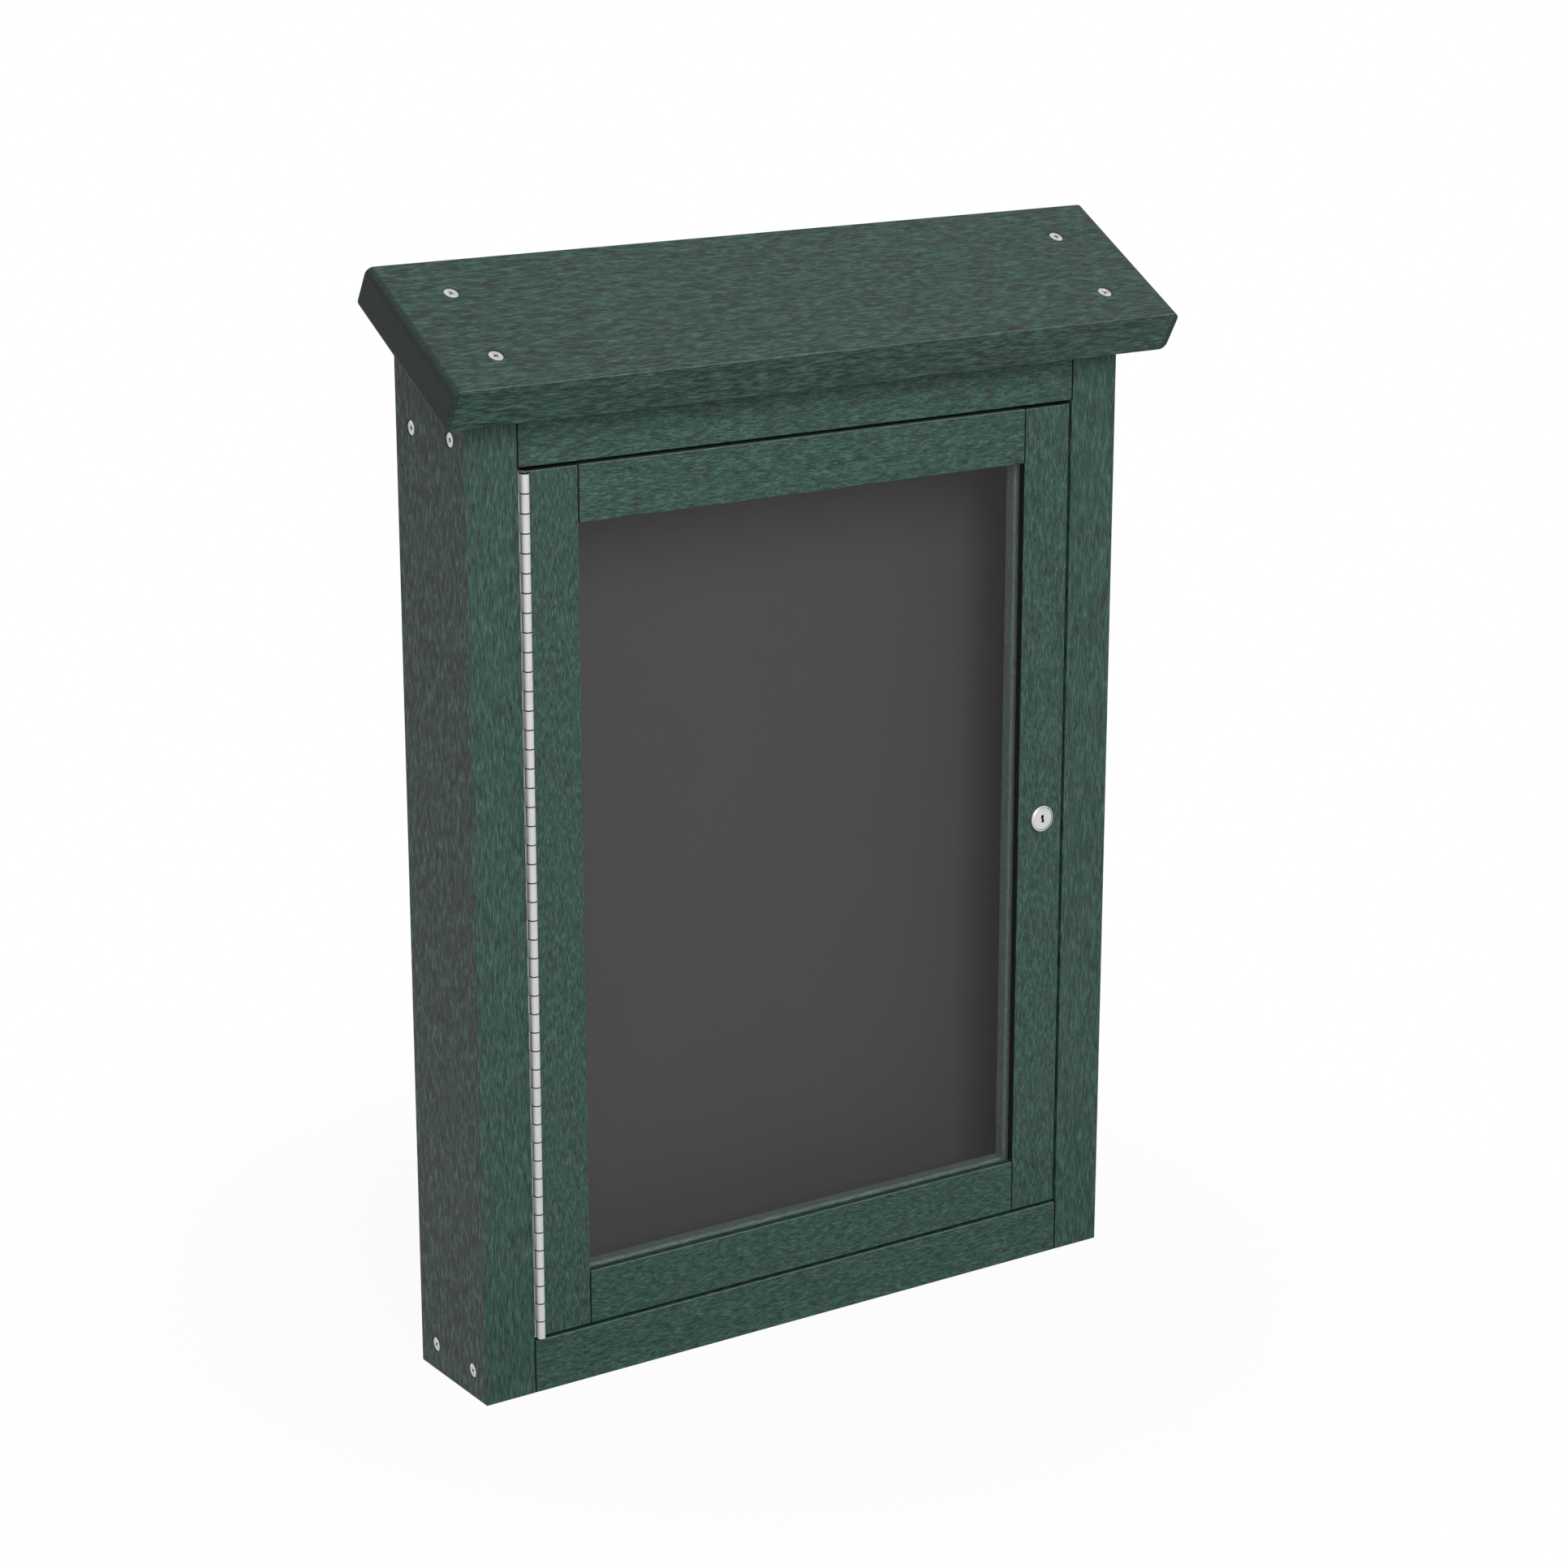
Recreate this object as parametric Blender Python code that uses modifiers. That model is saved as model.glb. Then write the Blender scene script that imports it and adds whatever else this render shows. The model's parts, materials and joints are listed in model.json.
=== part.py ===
"""Wall message board built from recycled plastic lumber.

The origin is the middle of the wall face, on the back of the back panel.
+X is to the right seen from the front, +Z is up, and the front looks along -Y.
The case stands still; the door turns on the pin of a continuous hinge, and the
plug of a cam lock turns in the door's right stile.
"""

import math

import bmesh
import bpy
from mathutils import Matrix, Vector

MM = 0.001

# Clearances
SEAT = 0.3 * MM
LEAF_SEAT = 0.25 * MM
HOLE_PLAY = 0.3 * MM
CUT_OVERRUN = 1.0 * MM

# Case boards
CASE_WIDTH = 521.0 * MM
CASE_DEPTH = 90.0 * MM
CASE_BOARD = 38.0 * MM
OPENING_HEIGHT = 600.0 * MM
EDGE_EASE = 0.7 * MM
SIDE_RISE = 6.4 * MM

# Slanted roof board
ROOF_TILT = math.radians(30.0)
ROOF_WIDTH = 128.4 * MM
ROOF_THICKNESS = 31.3 * MM
ROOF_OVERHANG = 26.3 * MM
ROOF_END_RADIUS = 5.6 * MM
ROOF_END_STEPS = 5

# Panel and display board at the back
PANEL_THICKNESS = 9.5 * MM
PANEL_REBATE = 10.0 * MM
DISPLAY_THICKNESS = 6.0 * MM
PANEL_EDGE_EASE = 0.5 * MM

# Door frame and window
DOOR_THICKNESS = 22.0 * MM
STILE_WIDTH = 38.0 * MM
RAIL_WIDTH = 38.0 * MM
LOCK_SIDE_GAP = 2.5 * MM
DOOR_END_GAP = 2.5 * MM
DOOR_EDGE_EASE = 0.6 * MM
WINDOW_LIP = 6.0 * MM
WINDOW_REBATE = 9.5 * MM
PANE_THICKNESS = 4.8 * MM
STRIP_EDGE_EASE = 1.5 * MM

# Continuous hinge
KNUCKLE_RADIUS = 2.9 * MM
KNUCKLE_BORE = 1.85 * MM
KNUCKLE_COUNT = 46
KNUCKLE_GAP = 0.4 * MM
HINGE_END_GAP = 0.5 * MM
PIN_RADIUS = 1.5 * MM
PIN_AHEAD = 3.3 * MM
LEAF_THICKNESS = 1.2 * MM
LEAF_REACH = 18.0 * MM
NOTCH_BACK = 3.5 * MM
KNUCKLE_ARC_STEPS = 12
BORE_SIDES = 10

# Wood screws with countersunk heads
CASE_SCREW_HEAD = 5.0 * MM
CASE_SCREW_SHANK = 2.4 * MM
CASE_SCREW_SINK = 2.6 * MM
CASE_SCREW_INSET = 0.5 * MM
SIDE_SCREW_LENGTH = 70.0 * MM
SIDE_SCREW_INSET = 19.5 * MM
ROOF_SCREW_LENGTH = 50.0 * MM
ROOF_SCREW_FRONT_INSET = 31.2 * MM
ROOF_SCREW_SPACING = 64.4 * MM
CORNER_SCREW_LENGTH = 65.0 * MM
CORNER_SCREW_INSET = 12.5 * MM
SMALL_SCREW_HEAD = 3.2 * MM
SMALL_SCREW_SHANK = 1.75 * MM
SMALL_SCREW_SINK = 1.45 * MM
SMALL_SCREW_LENGTH = 16.0 * MM
SCREW_TIP = 4.0 * MM
SCREW_SIDES = 12
SMALL_SCREW_SIDES = 10
HINGE_SCREW_COUNT = 5
HINGE_SCREW_END = 30.0 * MM
HINGE_SCREW_DEPTH = 11.0 * MM
PANEL_SCREW_INSET = 5.0 * MM
PANEL_SCREW_END = 100.0 * MM

# Cam lock
LOCK_FLANGE_RADIUS = 9.5 * MM
LOCK_FLANGE_PROUD = 3.5 * MM
LOCK_FLANGE_EASE = 0.9 * MM
LOCK_BARREL_RADIUS = 8.0 * MM
LOCK_BARREL_BEHIND = 8.0 * MM
LOCK_BORE_RADIUS = 5.4 * MM
LOCK_SIDES = 24
PLUG_RADIUS = 5.1 * MM
PLUG_CAP_RADIUS = 8.1 * MM
PLUG_CAP_THICKNESS = 1.4 * MM
PLUG_FACE_SINK = 0.2 * MM
KEYWAY_WIDTH = 1.5 * MM
KEYWAY_HEIGHT = 5.4 * MM
KEYWAY_DEPTH = 4.0 * MM
TANG_SIDE = 6.4 * MM
TANG_ROOT = 3.0 * MM
NUT_ACROSS_FLATS = 21.0 * MM
NUT_THICKNESS = 3.0 * MM
CAM_THICKNESS = 1.6 * MM
CAM_LENGTH = 18.5 * MM
CAM_HUB_RADIUS = 7.5 * MM
CAM_TIP_RADIUS = 5.5 * MM
CAM_HOLE_PLAY = 0.35 * MM
CAM_ARC_STEPS = 10
CAM_SCREW_HEAD = 4.6 * MM
CAM_SCREW_HEAD_HEIGHT = 2.2 * MM
CAM_SCREW_SHANK = 2.0 * MM
CAM_SCREW_LENGTH = 9.0 * MM
STRIKE_THICKNESS = 1.6 * MM
STRIKE_REACH = 11.5 * MM
STRIKE_LEG = 18.0 * MM
STRIKE_HEIGHT = 34.0 * MM
STRIKE_SCREW_SPACING = 18.0 * MM

# Places worked out from the sizes
BACK_Y = 0.0
FRONT_Y = BACK_Y - CASE_DEPTH
INNER_X = CASE_WIDTH / 2 - CASE_BOARD
OPENING_TOP = OPENING_HEIGHT / 2
CASE_TOP = OPENING_TOP + CASE_BOARD
SIDE_FRONT_TOP = CASE_TOP + SIDE_RISE
SIDE_BACK_TOP = SIDE_FRONT_TOP + CASE_DEPTH * math.tan(ROOF_TILT)
SIDE_MIDDLE_X = CASE_WIDTH / 2 - CASE_BOARD / 2

# Where the roof's long edges come along its slant, its lower back one flush with the wall face
ROOF_BACK = -SEAT * math.tan(ROOF_TILT)
ROOF_FRONT = ROOF_BACK + ROOF_WIDTH

HINGE_GAP = 2 * (KNUCKLE_RADIUS + LEAF_SEAT)
DOOR_LEFT = -INNER_X + HINGE_GAP
DOOR_RIGHT = INNER_X - LOCK_SIDE_GAP
DOOR_TOP = OPENING_TOP - DOOR_END_GAP
DOOR_BACK_Y = FRONT_Y + DOOR_THICKNESS
WINDOW_LEFT = DOOR_LEFT + STILE_WIDTH
WINDOW_RIGHT = DOOR_RIGHT - STILE_WIDTH
WINDOW_TOP = DOOR_TOP - RAIL_WIDTH

HINGE_X = -INNER_X + HINGE_GAP / 2
HINGE_Y = FRONT_Y - PIN_AHEAD
HINGE_LENGTH = 2 * (DOOR_TOP - HINGE_END_GAP)
KNUCKLE_PITCH = HINGE_LENGTH / KNUCKLE_COUNT
LEAF_SCREW_Y = FRONT_Y + HINGE_SCREW_DEPTH

LOCK_X = DOOR_RIGHT - STILE_WIDTH / 2
LOCK_Z = 0.0
PLUG_FACE = LOCK_FLANGE_PROUD - PLUG_FACE_SINK
PLUG_CAP_BACK = PLUG_FACE - PLUG_CAP_THICKNESS
BARREL_END = DOOR_THICKNESS + LOCK_BARREL_BEHIND
CAM_FRONT = BARREL_END + 2 * SEAT
CAM_BACK = CAM_FRONT + CAM_THICKNESS

DISPLAY_BACK_Y = BACK_Y - PANEL_THICKNESS - SEAT

# Colours as seen, in display values from 0 to 255
GREEN_LUMBER = (65, 88, 80)
STEEL_GREY = (205, 205, 207)
DISPLAY_GREY = (73, 73, 73)
PANEL_GREY = (58, 62, 60)
CLEAR_PANE = (235, 240, 240)


def linear(colour):
    """Display values from 0 to 255 as linear ones."""
    return tuple((value / 255) ** 2.2 for value in colour) + (1.0,)


def clear_scene():
    for obj in list(bpy.data.objects):
        bpy.data.objects.remove(obj, do_unlink=True)


def new_collection(name):
    collection = bpy.data.collections.new(name)
    bpy.context.scene.collection.children.link(collection)
    return collection


def make_material(name, colour, roughness, metallic, alpha=1.0):
    material = bpy.data.materials.new(name)
    material.use_nodes = True
    shader = material.node_tree.nodes["Principled BSDF"]
    shader.inputs["Base Color"].default_value = linear(colour)
    shader.inputs["Roughness"].default_value = roughness
    shader.inputs["Metallic"].default_value = metallic
    shader.inputs["Alpha"].default_value = alpha
    return material


class Builder:
    """Keeps the two collections, the parents and the shared make-and-place steps."""

    def __init__(self):
        self.parts = new_collection("wall_message_board")
        self.cutters = new_collection("cutters")
        self.parent = None

    def add(self, name, mesh, location, rotation=(0.0, 0.0, 0.0), look=None):
        """Link a mesh as a part, under the present parent empty."""
        obj = bpy.data.objects.new(name, mesh)
        self.parts.objects.link(obj)
        obj.location = location
        obj.rotation_euler = rotation
        if self.parent:
            obj.parent = self.parent
            obj.location = Vector(location) - self.parent.location
        if look:
            colour, roughness, metallic, alpha = look
            mesh.materials.append(make_material(name, colour, roughness, metallic, alpha))
        return obj

    def add_cutter(self, name, mesh, location, rotation=(0.0, 0.0, 0.0)):
        obj = bpy.data.objects.new(name, mesh)
        self.cutters.objects.link(obj)
        obj.location = location
        obj.rotation_euler = rotation
        obj.hide_render = True
        obj.display_type = "WIRE"
        return obj

    def axis_empty(self, name, location):
        """An empty on a joint's axis, which carries the pieces that turn there."""
        empty = bpy.data.objects.new(name, None)
        self.parts.objects.link(empty)
        empty.location = location
        empty.empty_display_size = 20 * MM
        return empty


def lumber_look():
    return (GREEN_LUMBER, 0.62, 0.0, 1.0)


def steel_look():
    return (STEEL_GREY, 0.32, 1.0, 1.0)


def boolean(obj, cutter, operation="DIFFERENCE"):
    modifier = obj.modifiers.new(cutter.name, "BOOLEAN")
    modifier.operation = operation
    modifier.solver = "EXACT"
    modifier.object = cutter


def ease_edges(obj, width, segments=2):
    modifier = obj.modifiers.new("eased_edges", "BEVEL")
    modifier.width = width
    modifier.segments = segments
    modifier.limit_method = "ANGLE"
    modifier.harden_normals = False


def box_mesh(name, boxes):
    """One mesh with a box for each pair of low and high corners."""
    mesh = bpy.data.meshes.new(name)
    shape = bmesh.new()
    for low, high in boxes:
        size = Vector(high) - Vector(low)
        middle = (Vector(high) + Vector(low)) / 2
        matrix = Matrix.Translation(middle) @ Matrix.Diagonal((*size, 1.0))
        bmesh.ops.create_cube(shape, size=1.0, matrix=matrix)
    shape.to_mesh(mesh)
    shape.free()
    return mesh


def centred_box(name, low, high):
    """A box mesh about its own middle, and that middle."""
    middle = (Vector(high) + Vector(low)) / 2
    half = (Vector(high) - Vector(low)) / 2
    return box_mesh(name, [(-half, half)]), middle


def outline_mesh(name, outlines, thickness):
    """A flat outline, with any holes in it, as a closed slab about z = 0."""
    curve = bpy.data.curves.new(name, "CURVE")
    curve.dimensions = "2D"
    curve.fill_mode = "BOTH"
    curve.extrude = thickness / 2
    for outline in outlines:
        spline = curve.splines.new("POLY")
        spline.points.add(len(outline) - 1)
        for point, (x, y) in zip(spline.points, outline):
            point.co = (x, y, 0.0, 1.0)
        spline.use_cyclic_u = True
    holder = bpy.data.objects.new(name, curve)
    bpy.context.scene.collection.objects.link(holder)
    bpy.context.view_layer.update()
    graph = bpy.context.evaluated_depsgraph_get()
    mesh = bpy.data.meshes.new_from_object(holder.evaluated_get(graph))
    bpy.data.objects.remove(holder, do_unlink=True)
    bpy.data.curves.remove(curve)
    shape = bmesh.new()
    shape.from_mesh(mesh)
    bmesh.ops.remove_doubles(shape, verts=shape.verts, dist=0.00001)
    bmesh.ops.recalc_face_normals(shape, faces=shape.faces)
    shape.to_mesh(mesh)
    shape.free()
    mesh.name = name
    return mesh


def profile_mesh(name, profile, closed=False):
    """A chain of edges in the XZ plane, from (radius, height) pairs."""
    mesh = bpy.data.meshes.new(name)
    points = [(radius, 0.0, height) for radius, height in profile]
    edges = [(i, i + 1) for i in range(len(points) - 1)]
    if closed:
        edges.append((len(points) - 1, 0))
    mesh.from_pydata(points, edges, [])
    return mesh


def turn_profile(obj, sides):
    modifier = obj.modifiers.new("turned", "SCREW")
    modifier.axis = "Z"
    modifier.angle = math.tau
    modifier.steps = sides
    modifier.render_steps = sides
    modifier.use_merge_vertices = True
    modifier.merge_threshold = 0.00001
    modifier.use_smooth_shade = True


def arc(centre, radius, start, end, steps):
    """Points along an arc, angles in radians, both ends included."""
    return [
        (
            centre[0] + radius * math.cos(start + (end - start) * i / steps),
            centre[1] + radius * math.sin(start + (end - start) * i / steps),
        )
        for i in range(steps + 1)
    ]


def circle(radius, sides):
    return arc((0.0, 0.0), radius, 0.0, math.tau, sides)[:-1]


# A slab whose outline lies in the YZ plane and whose thickness runs along X
ALONG_X = (math.pi / 2, 0.0, math.pi / 2)

# A turned piece or slab whose +Z looks out of the front
OUT_OF_FRONT = (math.pi / 2, 0.0, 0.0)


def sunk_head_profile(head, shank, sink, length):
    """A countersunk screw from its flat head down to its point."""
    return [
        (0.0, 0.0),
        (head, 0.0),
        (shank, -sink),
        (shank, -length + SCREW_TIP),
        (0.0, -length),
    ]


def sunk_hole_profile(head, shank, sink, length, inset):
    """The same screw's hole, wider all round by the play and open above the head."""
    mouth = inset + CUT_OVERRUN
    return [
        (0.0, mouth),
        (head + HOLE_PLAY, mouth),
        (head + HOLE_PLAY, -HOLE_PLAY),
        (shank + HOLE_PLAY, -sink - HOLE_PLAY),
        (shank + HOLE_PLAY, -length - HOLE_PLAY),
        (0.0, -length - HOLE_PLAY),
    ]


def drive_rotation(direction):
    """The turn that points a screw's -Z along the way it is driven."""
    return Vector(direction).to_track_quat("-Z", "Y").to_euler()


def sunk_screw(build, name, at, direction, kind, hosts):
    """A screw with its head an inset below the face, and its hole in each board it passes."""
    head, shank, sink, length, inset, sides = kind
    place = Vector(at) + inset * Vector(direction)
    rotation = drive_rotation(direction)
    mesh = profile_mesh(name, sunk_head_profile(head, shank, sink, length))
    screw = build.add(name, mesh, place, rotation, steel_look())
    turn_profile(screw, sides)
    hole_mesh = profile_mesh(name + "_hole", sunk_hole_profile(head, shank, sink, length, inset))
    hole = build.add_cutter(name + "_hole", hole_mesh, place, rotation)
    turn_profile(hole, sides)
    for host in hosts:
        boolean(host, hole)
    return screw


def case_screw(length):
    return (
        CASE_SCREW_HEAD,
        CASE_SCREW_SHANK,
        CASE_SCREW_SINK,
        length,
        CASE_SCREW_INSET,
        SCREW_SIDES,
    )


def small_screw():
    return (
        SMALL_SCREW_HEAD,
        SMALL_SCREW_SHANK,
        SMALL_SCREW_SINK,
        SMALL_SCREW_LENGTH,
        0.0,
        SMALL_SCREW_SIDES,
    )


def side_board(build, name, side):
    """An upright board whose top is cut to the roof's slant."""
    outline = [
        (FRONT_Y, -CASE_TOP),
        (BACK_Y, -CASE_TOP),
        (BACK_Y, SIDE_BACK_TOP),
        (FRONT_Y, SIDE_FRONT_TOP),
    ]
    mesh = outline_mesh(name, [outline], CASE_BOARD)
    board = build.add(name, mesh, (side * SIDE_MIDDLE_X, 0.0, 0.0), ALONG_X, lumber_look())
    ease_edges(board, EDGE_EASE)
    return board


def cross_board(build, name, low_z, high_z):
    """A board laid flat between the two side boards."""
    reach = INNER_X - SEAT
    mesh, middle = centred_box(name, (-reach, FRONT_Y, low_z), (reach, BACK_Y, high_z))
    board = build.add(name, mesh, middle, look=lumber_look())
    ease_edges(board, EDGE_EASE)
    return board


def slope_point(along, out):
    """A point in YZ, along the roof's slant from the case's back and out of its underside."""
    y = BACK_Y - along * math.cos(ROOF_TILT) - out * math.sin(ROOF_TILT)
    z = SIDE_BACK_TOP - along * math.sin(ROOF_TILT) + out * math.cos(ROOF_TILT)
    return y, z


def rounded_outline(half_width, half_height, radius, steps):
    """A rectangle with rounded corners, from its right lower corner round."""
    x = half_width - radius
    y = half_height - radius
    points = []
    for quarter, (side, level) in enumerate(((1, -1), (1, 1), (-1, 1), (-1, -1)), -1):
        start = quarter * math.pi / 2
        points += arc((side * x, level * y), radius, start, start + math.pi / 2, steps)
    return points


def roof_board(build):
    """The slanted board, with its end edges rounded down the slope and the long ones eased."""
    half_length = CASE_WIDTH / 2 + ROOF_OVERHANG
    outline = rounded_outline(half_length, ROOF_THICKNESS / 2, ROOF_END_RADIUS, ROOF_END_STEPS)
    mesh = outline_mesh("roof_board", [outline], ROOF_WIDTH)
    y, z = slope_point((ROOF_BACK + ROOF_FRONT) / 2, ROOF_THICKNESS / 2 + SEAT)
    turn = (math.pi / 2 + ROOF_TILT, 0.0, 0.0)
    roof = build.add("roof_board", mesh, (0.0, y, z), turn, lumber_look())
    ease_edges(roof, EDGE_EASE)
    return roof


def roof_screws(build, roof, sides):
    """Two screws into the slanted top of each side board, square to the roof."""
    direction = (0.0, math.sin(ROOF_TILT), -math.cos(ROOF_TILT))
    front = ROOF_FRONT - ROOF_SCREW_FRONT_INSET
    number = 0
    for side, board in sides:
        for along in (front, front - ROOF_SCREW_SPACING):
            number += 1
            y, z = slope_point(along, ROOF_THICKNESS + SEAT)
            place = (side * SIDE_MIDDLE_X, y, z)
            kind = case_screw(ROOF_SCREW_LENGTH)
            sunk_screw(build, f"roof_screw_{number}", place, direction, kind, (roof, board))


def side_screws(build, sides, cross_boards):
    """Two screws through each side board into each end of the cross boards."""
    for side, board in sides:
        label = "left" if side < 0 else "right"
        number = 0
        for level, cross in cross_boards:
            for y in (FRONT_Y + SIDE_SCREW_INSET, BACK_Y - SIDE_SCREW_INSET):
                number += 1
                place = (side * CASE_WIDTH / 2, y, level)
                kind = case_screw(SIDE_SCREW_LENGTH)
                name = f"{label}_side_screw_{number}"
                sunk_screw(build, name, place, (-side, 0.0, 0.0), kind, (board, cross))


def back_panel(build, boards):
    """The panel that sits in a rebate round the back of the case."""
    half_width = INNER_X + PANEL_REBATE
    half_height = OPENING_TOP + PANEL_REBATE
    low = (-half_width, BACK_Y - PANEL_THICKNESS, -half_height)
    high = (half_width, BACK_Y, half_height)
    mesh, middle = centred_box("back_panel", low, high)
    panel = build.add("back_panel", mesh, middle, look=(PANEL_GREY, 0.6, 0.0, 1.0))
    ease_edges(panel, PANEL_EDGE_EASE, 1)
    play = Vector((SEAT, SEAT, SEAT))
    cut_low = Vector(low) - play
    cut_high = Vector(high) + play + Vector((0.0, CUT_OVERRUN, 0.0))
    cut_mesh, cut_middle = centred_box("panel_rebate", cut_low, cut_high)
    cutter = build.add_cutter("panel_rebate", cut_mesh, cut_middle)
    for board in boards:
        boolean(board, cutter)
    return panel


def display_board(build):
    """The bare board that notices are pinned to, on the front of the panel."""
    half_width = INNER_X - SEAT
    half_height = OPENING_TOP - SEAT
    low = (-half_width, DISPLAY_BACK_Y - DISPLAY_THICKNESS, -half_height)
    high = (half_width, DISPLAY_BACK_Y, half_height)
    mesh, middle = centred_box("display_board", low, high)
    board = build.add("display_board", mesh, middle, look=(DISPLAY_GREY, 0.85, 0.0, 1.0))
    ease_edges(board, PANEL_EDGE_EASE, 1)
    return board


def panel_screws(build, panel, sides):
    """Small screws through the panel's edge into the side boards."""
    number = 0
    for side, board in sides:
        for level in (-1, 1):
            number += 1
            x = side * (INNER_X + PANEL_REBATE - PANEL_SCREW_INSET)
            z = level * (OPENING_TOP - PANEL_SCREW_END)
            name = f"back_panel_screw_{number}"
            sunk_screw(build, name, (x, BACK_Y, z), (0.0, -1.0, 0.0), small_screw(), (panel, board))


def build_case(build):
    left = side_board(build, "left_side_board", -1)
    right = side_board(build, "right_side_board", 1)
    top = cross_board(build, "top_board", OPENING_TOP, CASE_TOP)
    bottom = cross_board(build, "bottom_board", -CASE_TOP, -OPENING_TOP)
    roof = roof_board(build)
    sides = ((-1, left), (1, right))
    panel = back_panel(build, (left, right, top, bottom))
    display_board(build)
    middle = OPENING_TOP + CASE_BOARD / 2
    roof_screws(build, roof, sides)
    side_screws(build, sides, ((-middle, bottom), (middle, top)))
    panel_screws(build, panel, sides)
    return left, right


def door_member(build, name, low_x, high_x, low_z, high_z):
    low = (low_x, FRONT_Y, low_z)
    high = (high_x, DOOR_BACK_Y, high_z)
    mesh, middle = centred_box(name, low, high)
    member = build.add(name, mesh, middle, look=lumber_look())
    ease_edges(member, DOOR_EDGE_EASE)
    return member


def door_frame(build):
    """Two full-height stiles, with the rails between them."""
    rail_left = WINDOW_LEFT + SEAT
    rail_right = WINDOW_RIGHT - SEAT
    left = door_member(build, "door_left_stile", DOOR_LEFT, WINDOW_LEFT, -DOOR_TOP, DOOR_TOP)
    right = door_member(build, "door_right_stile", WINDOW_RIGHT, DOOR_RIGHT, -DOOR_TOP, DOOR_TOP)
    top = door_member(build, "door_top_rail", rail_left, rail_right, WINDOW_TOP, DOOR_TOP)
    bottom = door_member(build, "door_bottom_rail", rail_left, rail_right, -DOOR_TOP, -WINDOW_TOP)
    low = (
        WINDOW_LEFT - WINDOW_REBATE,
        FRONT_Y + WINDOW_LIP,
        -WINDOW_TOP - WINDOW_REBATE,
    )
    high = (
        WINDOW_RIGHT + WINDOW_REBATE,
        DOOR_BACK_Y + CUT_OVERRUN,
        WINDOW_TOP + WINDOW_REBATE,
    )
    cut_mesh, cut_middle = centred_box("window_rebate", low, high)
    cutter = build.add_cutter("window_rebate", cut_mesh, cut_middle)
    for member in (left, right, top, bottom):
        boolean(member, cutter)
    return left, right, top, bottom


def corner_screws(build, stiles, rails):
    """One screw through the outer edge of a stile into each end of each rail."""
    number = 0
    y = (FRONT_Y + DOOR_BACK_Y) / 2
    for x, direction, stile in stiles:
        for level, rail in rails:
            number += 1
            place = (x, y, level * (DOOR_TOP - CORNER_SCREW_INSET))
            kind = case_screw(CORNER_SCREW_LENGTH)
            name = f"door_corner_screw_{number}"
            sunk_screw(build, name, place, (direction, 0.0, 0.0), kind, (stile, rail))


def window_pane(build):
    reach = WINDOW_REBATE - SEAT
    front = FRONT_Y + WINDOW_LIP + SEAT
    low = (WINDOW_LEFT - reach, front, -WINDOW_TOP - reach)
    high = (WINDOW_RIGHT + reach, front + PANE_THICKNESS, WINDOW_TOP + reach)
    mesh, middle = centred_box("window_pane", low, high)
    return build.add("window_pane", mesh, middle, look=(CLEAR_PANE, 0.05, 0.0, 0.25))


def glazing_strips(build):
    """Four strips behind the pane, which hold it in the rebate."""
    front = FRONT_Y + WINDOW_LIP + PANE_THICKNESS + 2 * SEAT
    outer_left = WINDOW_LEFT - WINDOW_REBATE + SEAT
    outer_right = WINDOW_RIGHT + WINDOW_REBATE - SEAT
    outer_top = WINDOW_TOP + WINDOW_REBATE - SEAT
    inner_left = WINDOW_LEFT + SEAT
    inner_right = WINDOW_RIGHT - SEAT
    strips = (
        ("glazing_strip_left", outer_left, WINDOW_LEFT, -outer_top, outer_top),
        ("glazing_strip_right", WINDOW_RIGHT, outer_right, -outer_top, outer_top),
        ("glazing_strip_top", inner_left, inner_right, WINDOW_TOP, outer_top),
        ("glazing_strip_bottom", inner_left, inner_right, -outer_top, -WINDOW_TOP),
    )
    for name, low_x, high_x, low_z, high_z in strips:
        mesh, middle = centred_box(name, (low_x, front, low_z), (high_x, DOOR_BACK_Y, high_z))
        strip = build.add(name, mesh, middle, look=lumber_look())
        ease_edges(strip, STRIP_EDGE_EASE)


def leaf_outline(side):
    """A leaf's section about the pin: a plate that curls round into the knuckle."""
    inner_face = KNUCKLE_RADIUS - LEAF_THICKNESS
    meet = math.tau + math.acos(-inner_face / KNUCKLE_RADIUS)
    end = PIN_AHEAD + LEAF_REACH
    points = [(-KNUCKLE_RADIUS, end)]
    points += arc((0.0, 0.0), KNUCKLE_RADIUS, math.pi, meet, KNUCKLE_ARC_STEPS)
    points.append((-inner_face, end))
    if side > 0:
        return [(-x, y) for x, y in reversed(points)]
    return points


def knuckle_notches(build, name, first):
    """Cutters that clear a leaf where the other leaf's knuckles turn."""
    reach = KNUCKLE_RADIUS + CUT_OVERRUN
    boxes = []
    for index in range(first, KNUCKLE_COUNT, 2):
        low = -HINGE_LENGTH / 2 + index * KNUCKLE_PITCH - KNUCKLE_GAP / 2
        high = low + KNUCKLE_PITCH + KNUCKLE_GAP
        if index == 0:
            low -= CUT_OVERRUN
        if index == KNUCKLE_COUNT - 1:
            high += CUT_OVERRUN
        boxes.append(((-reach, -reach, low), (reach, NOTCH_BACK, high)))
    return build.add_cutter(name, box_mesh(name, boxes), (HINGE_X, HINGE_Y, 0.0))


def hinge_leaf(build, name, side, first_notch):
    outlines = [leaf_outline(side), circle(KNUCKLE_BORE, BORE_SIDES)]
    mesh = outline_mesh(name, outlines, HINGE_LENGTH)
    leaf = build.add(name, mesh, (HINGE_X, HINGE_Y, 0.0), look=steel_look())
    boolean(leaf, knuckle_notches(build, name + "_notches", first_notch))
    return leaf


def hinge_screw_heights():
    span = HINGE_LENGTH - 2 * HINGE_SCREW_END
    step = span / (HINGE_SCREW_COUNT - 1)
    return [-span / 2 + index * step for index in range(HINGE_SCREW_COUNT)]


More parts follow.
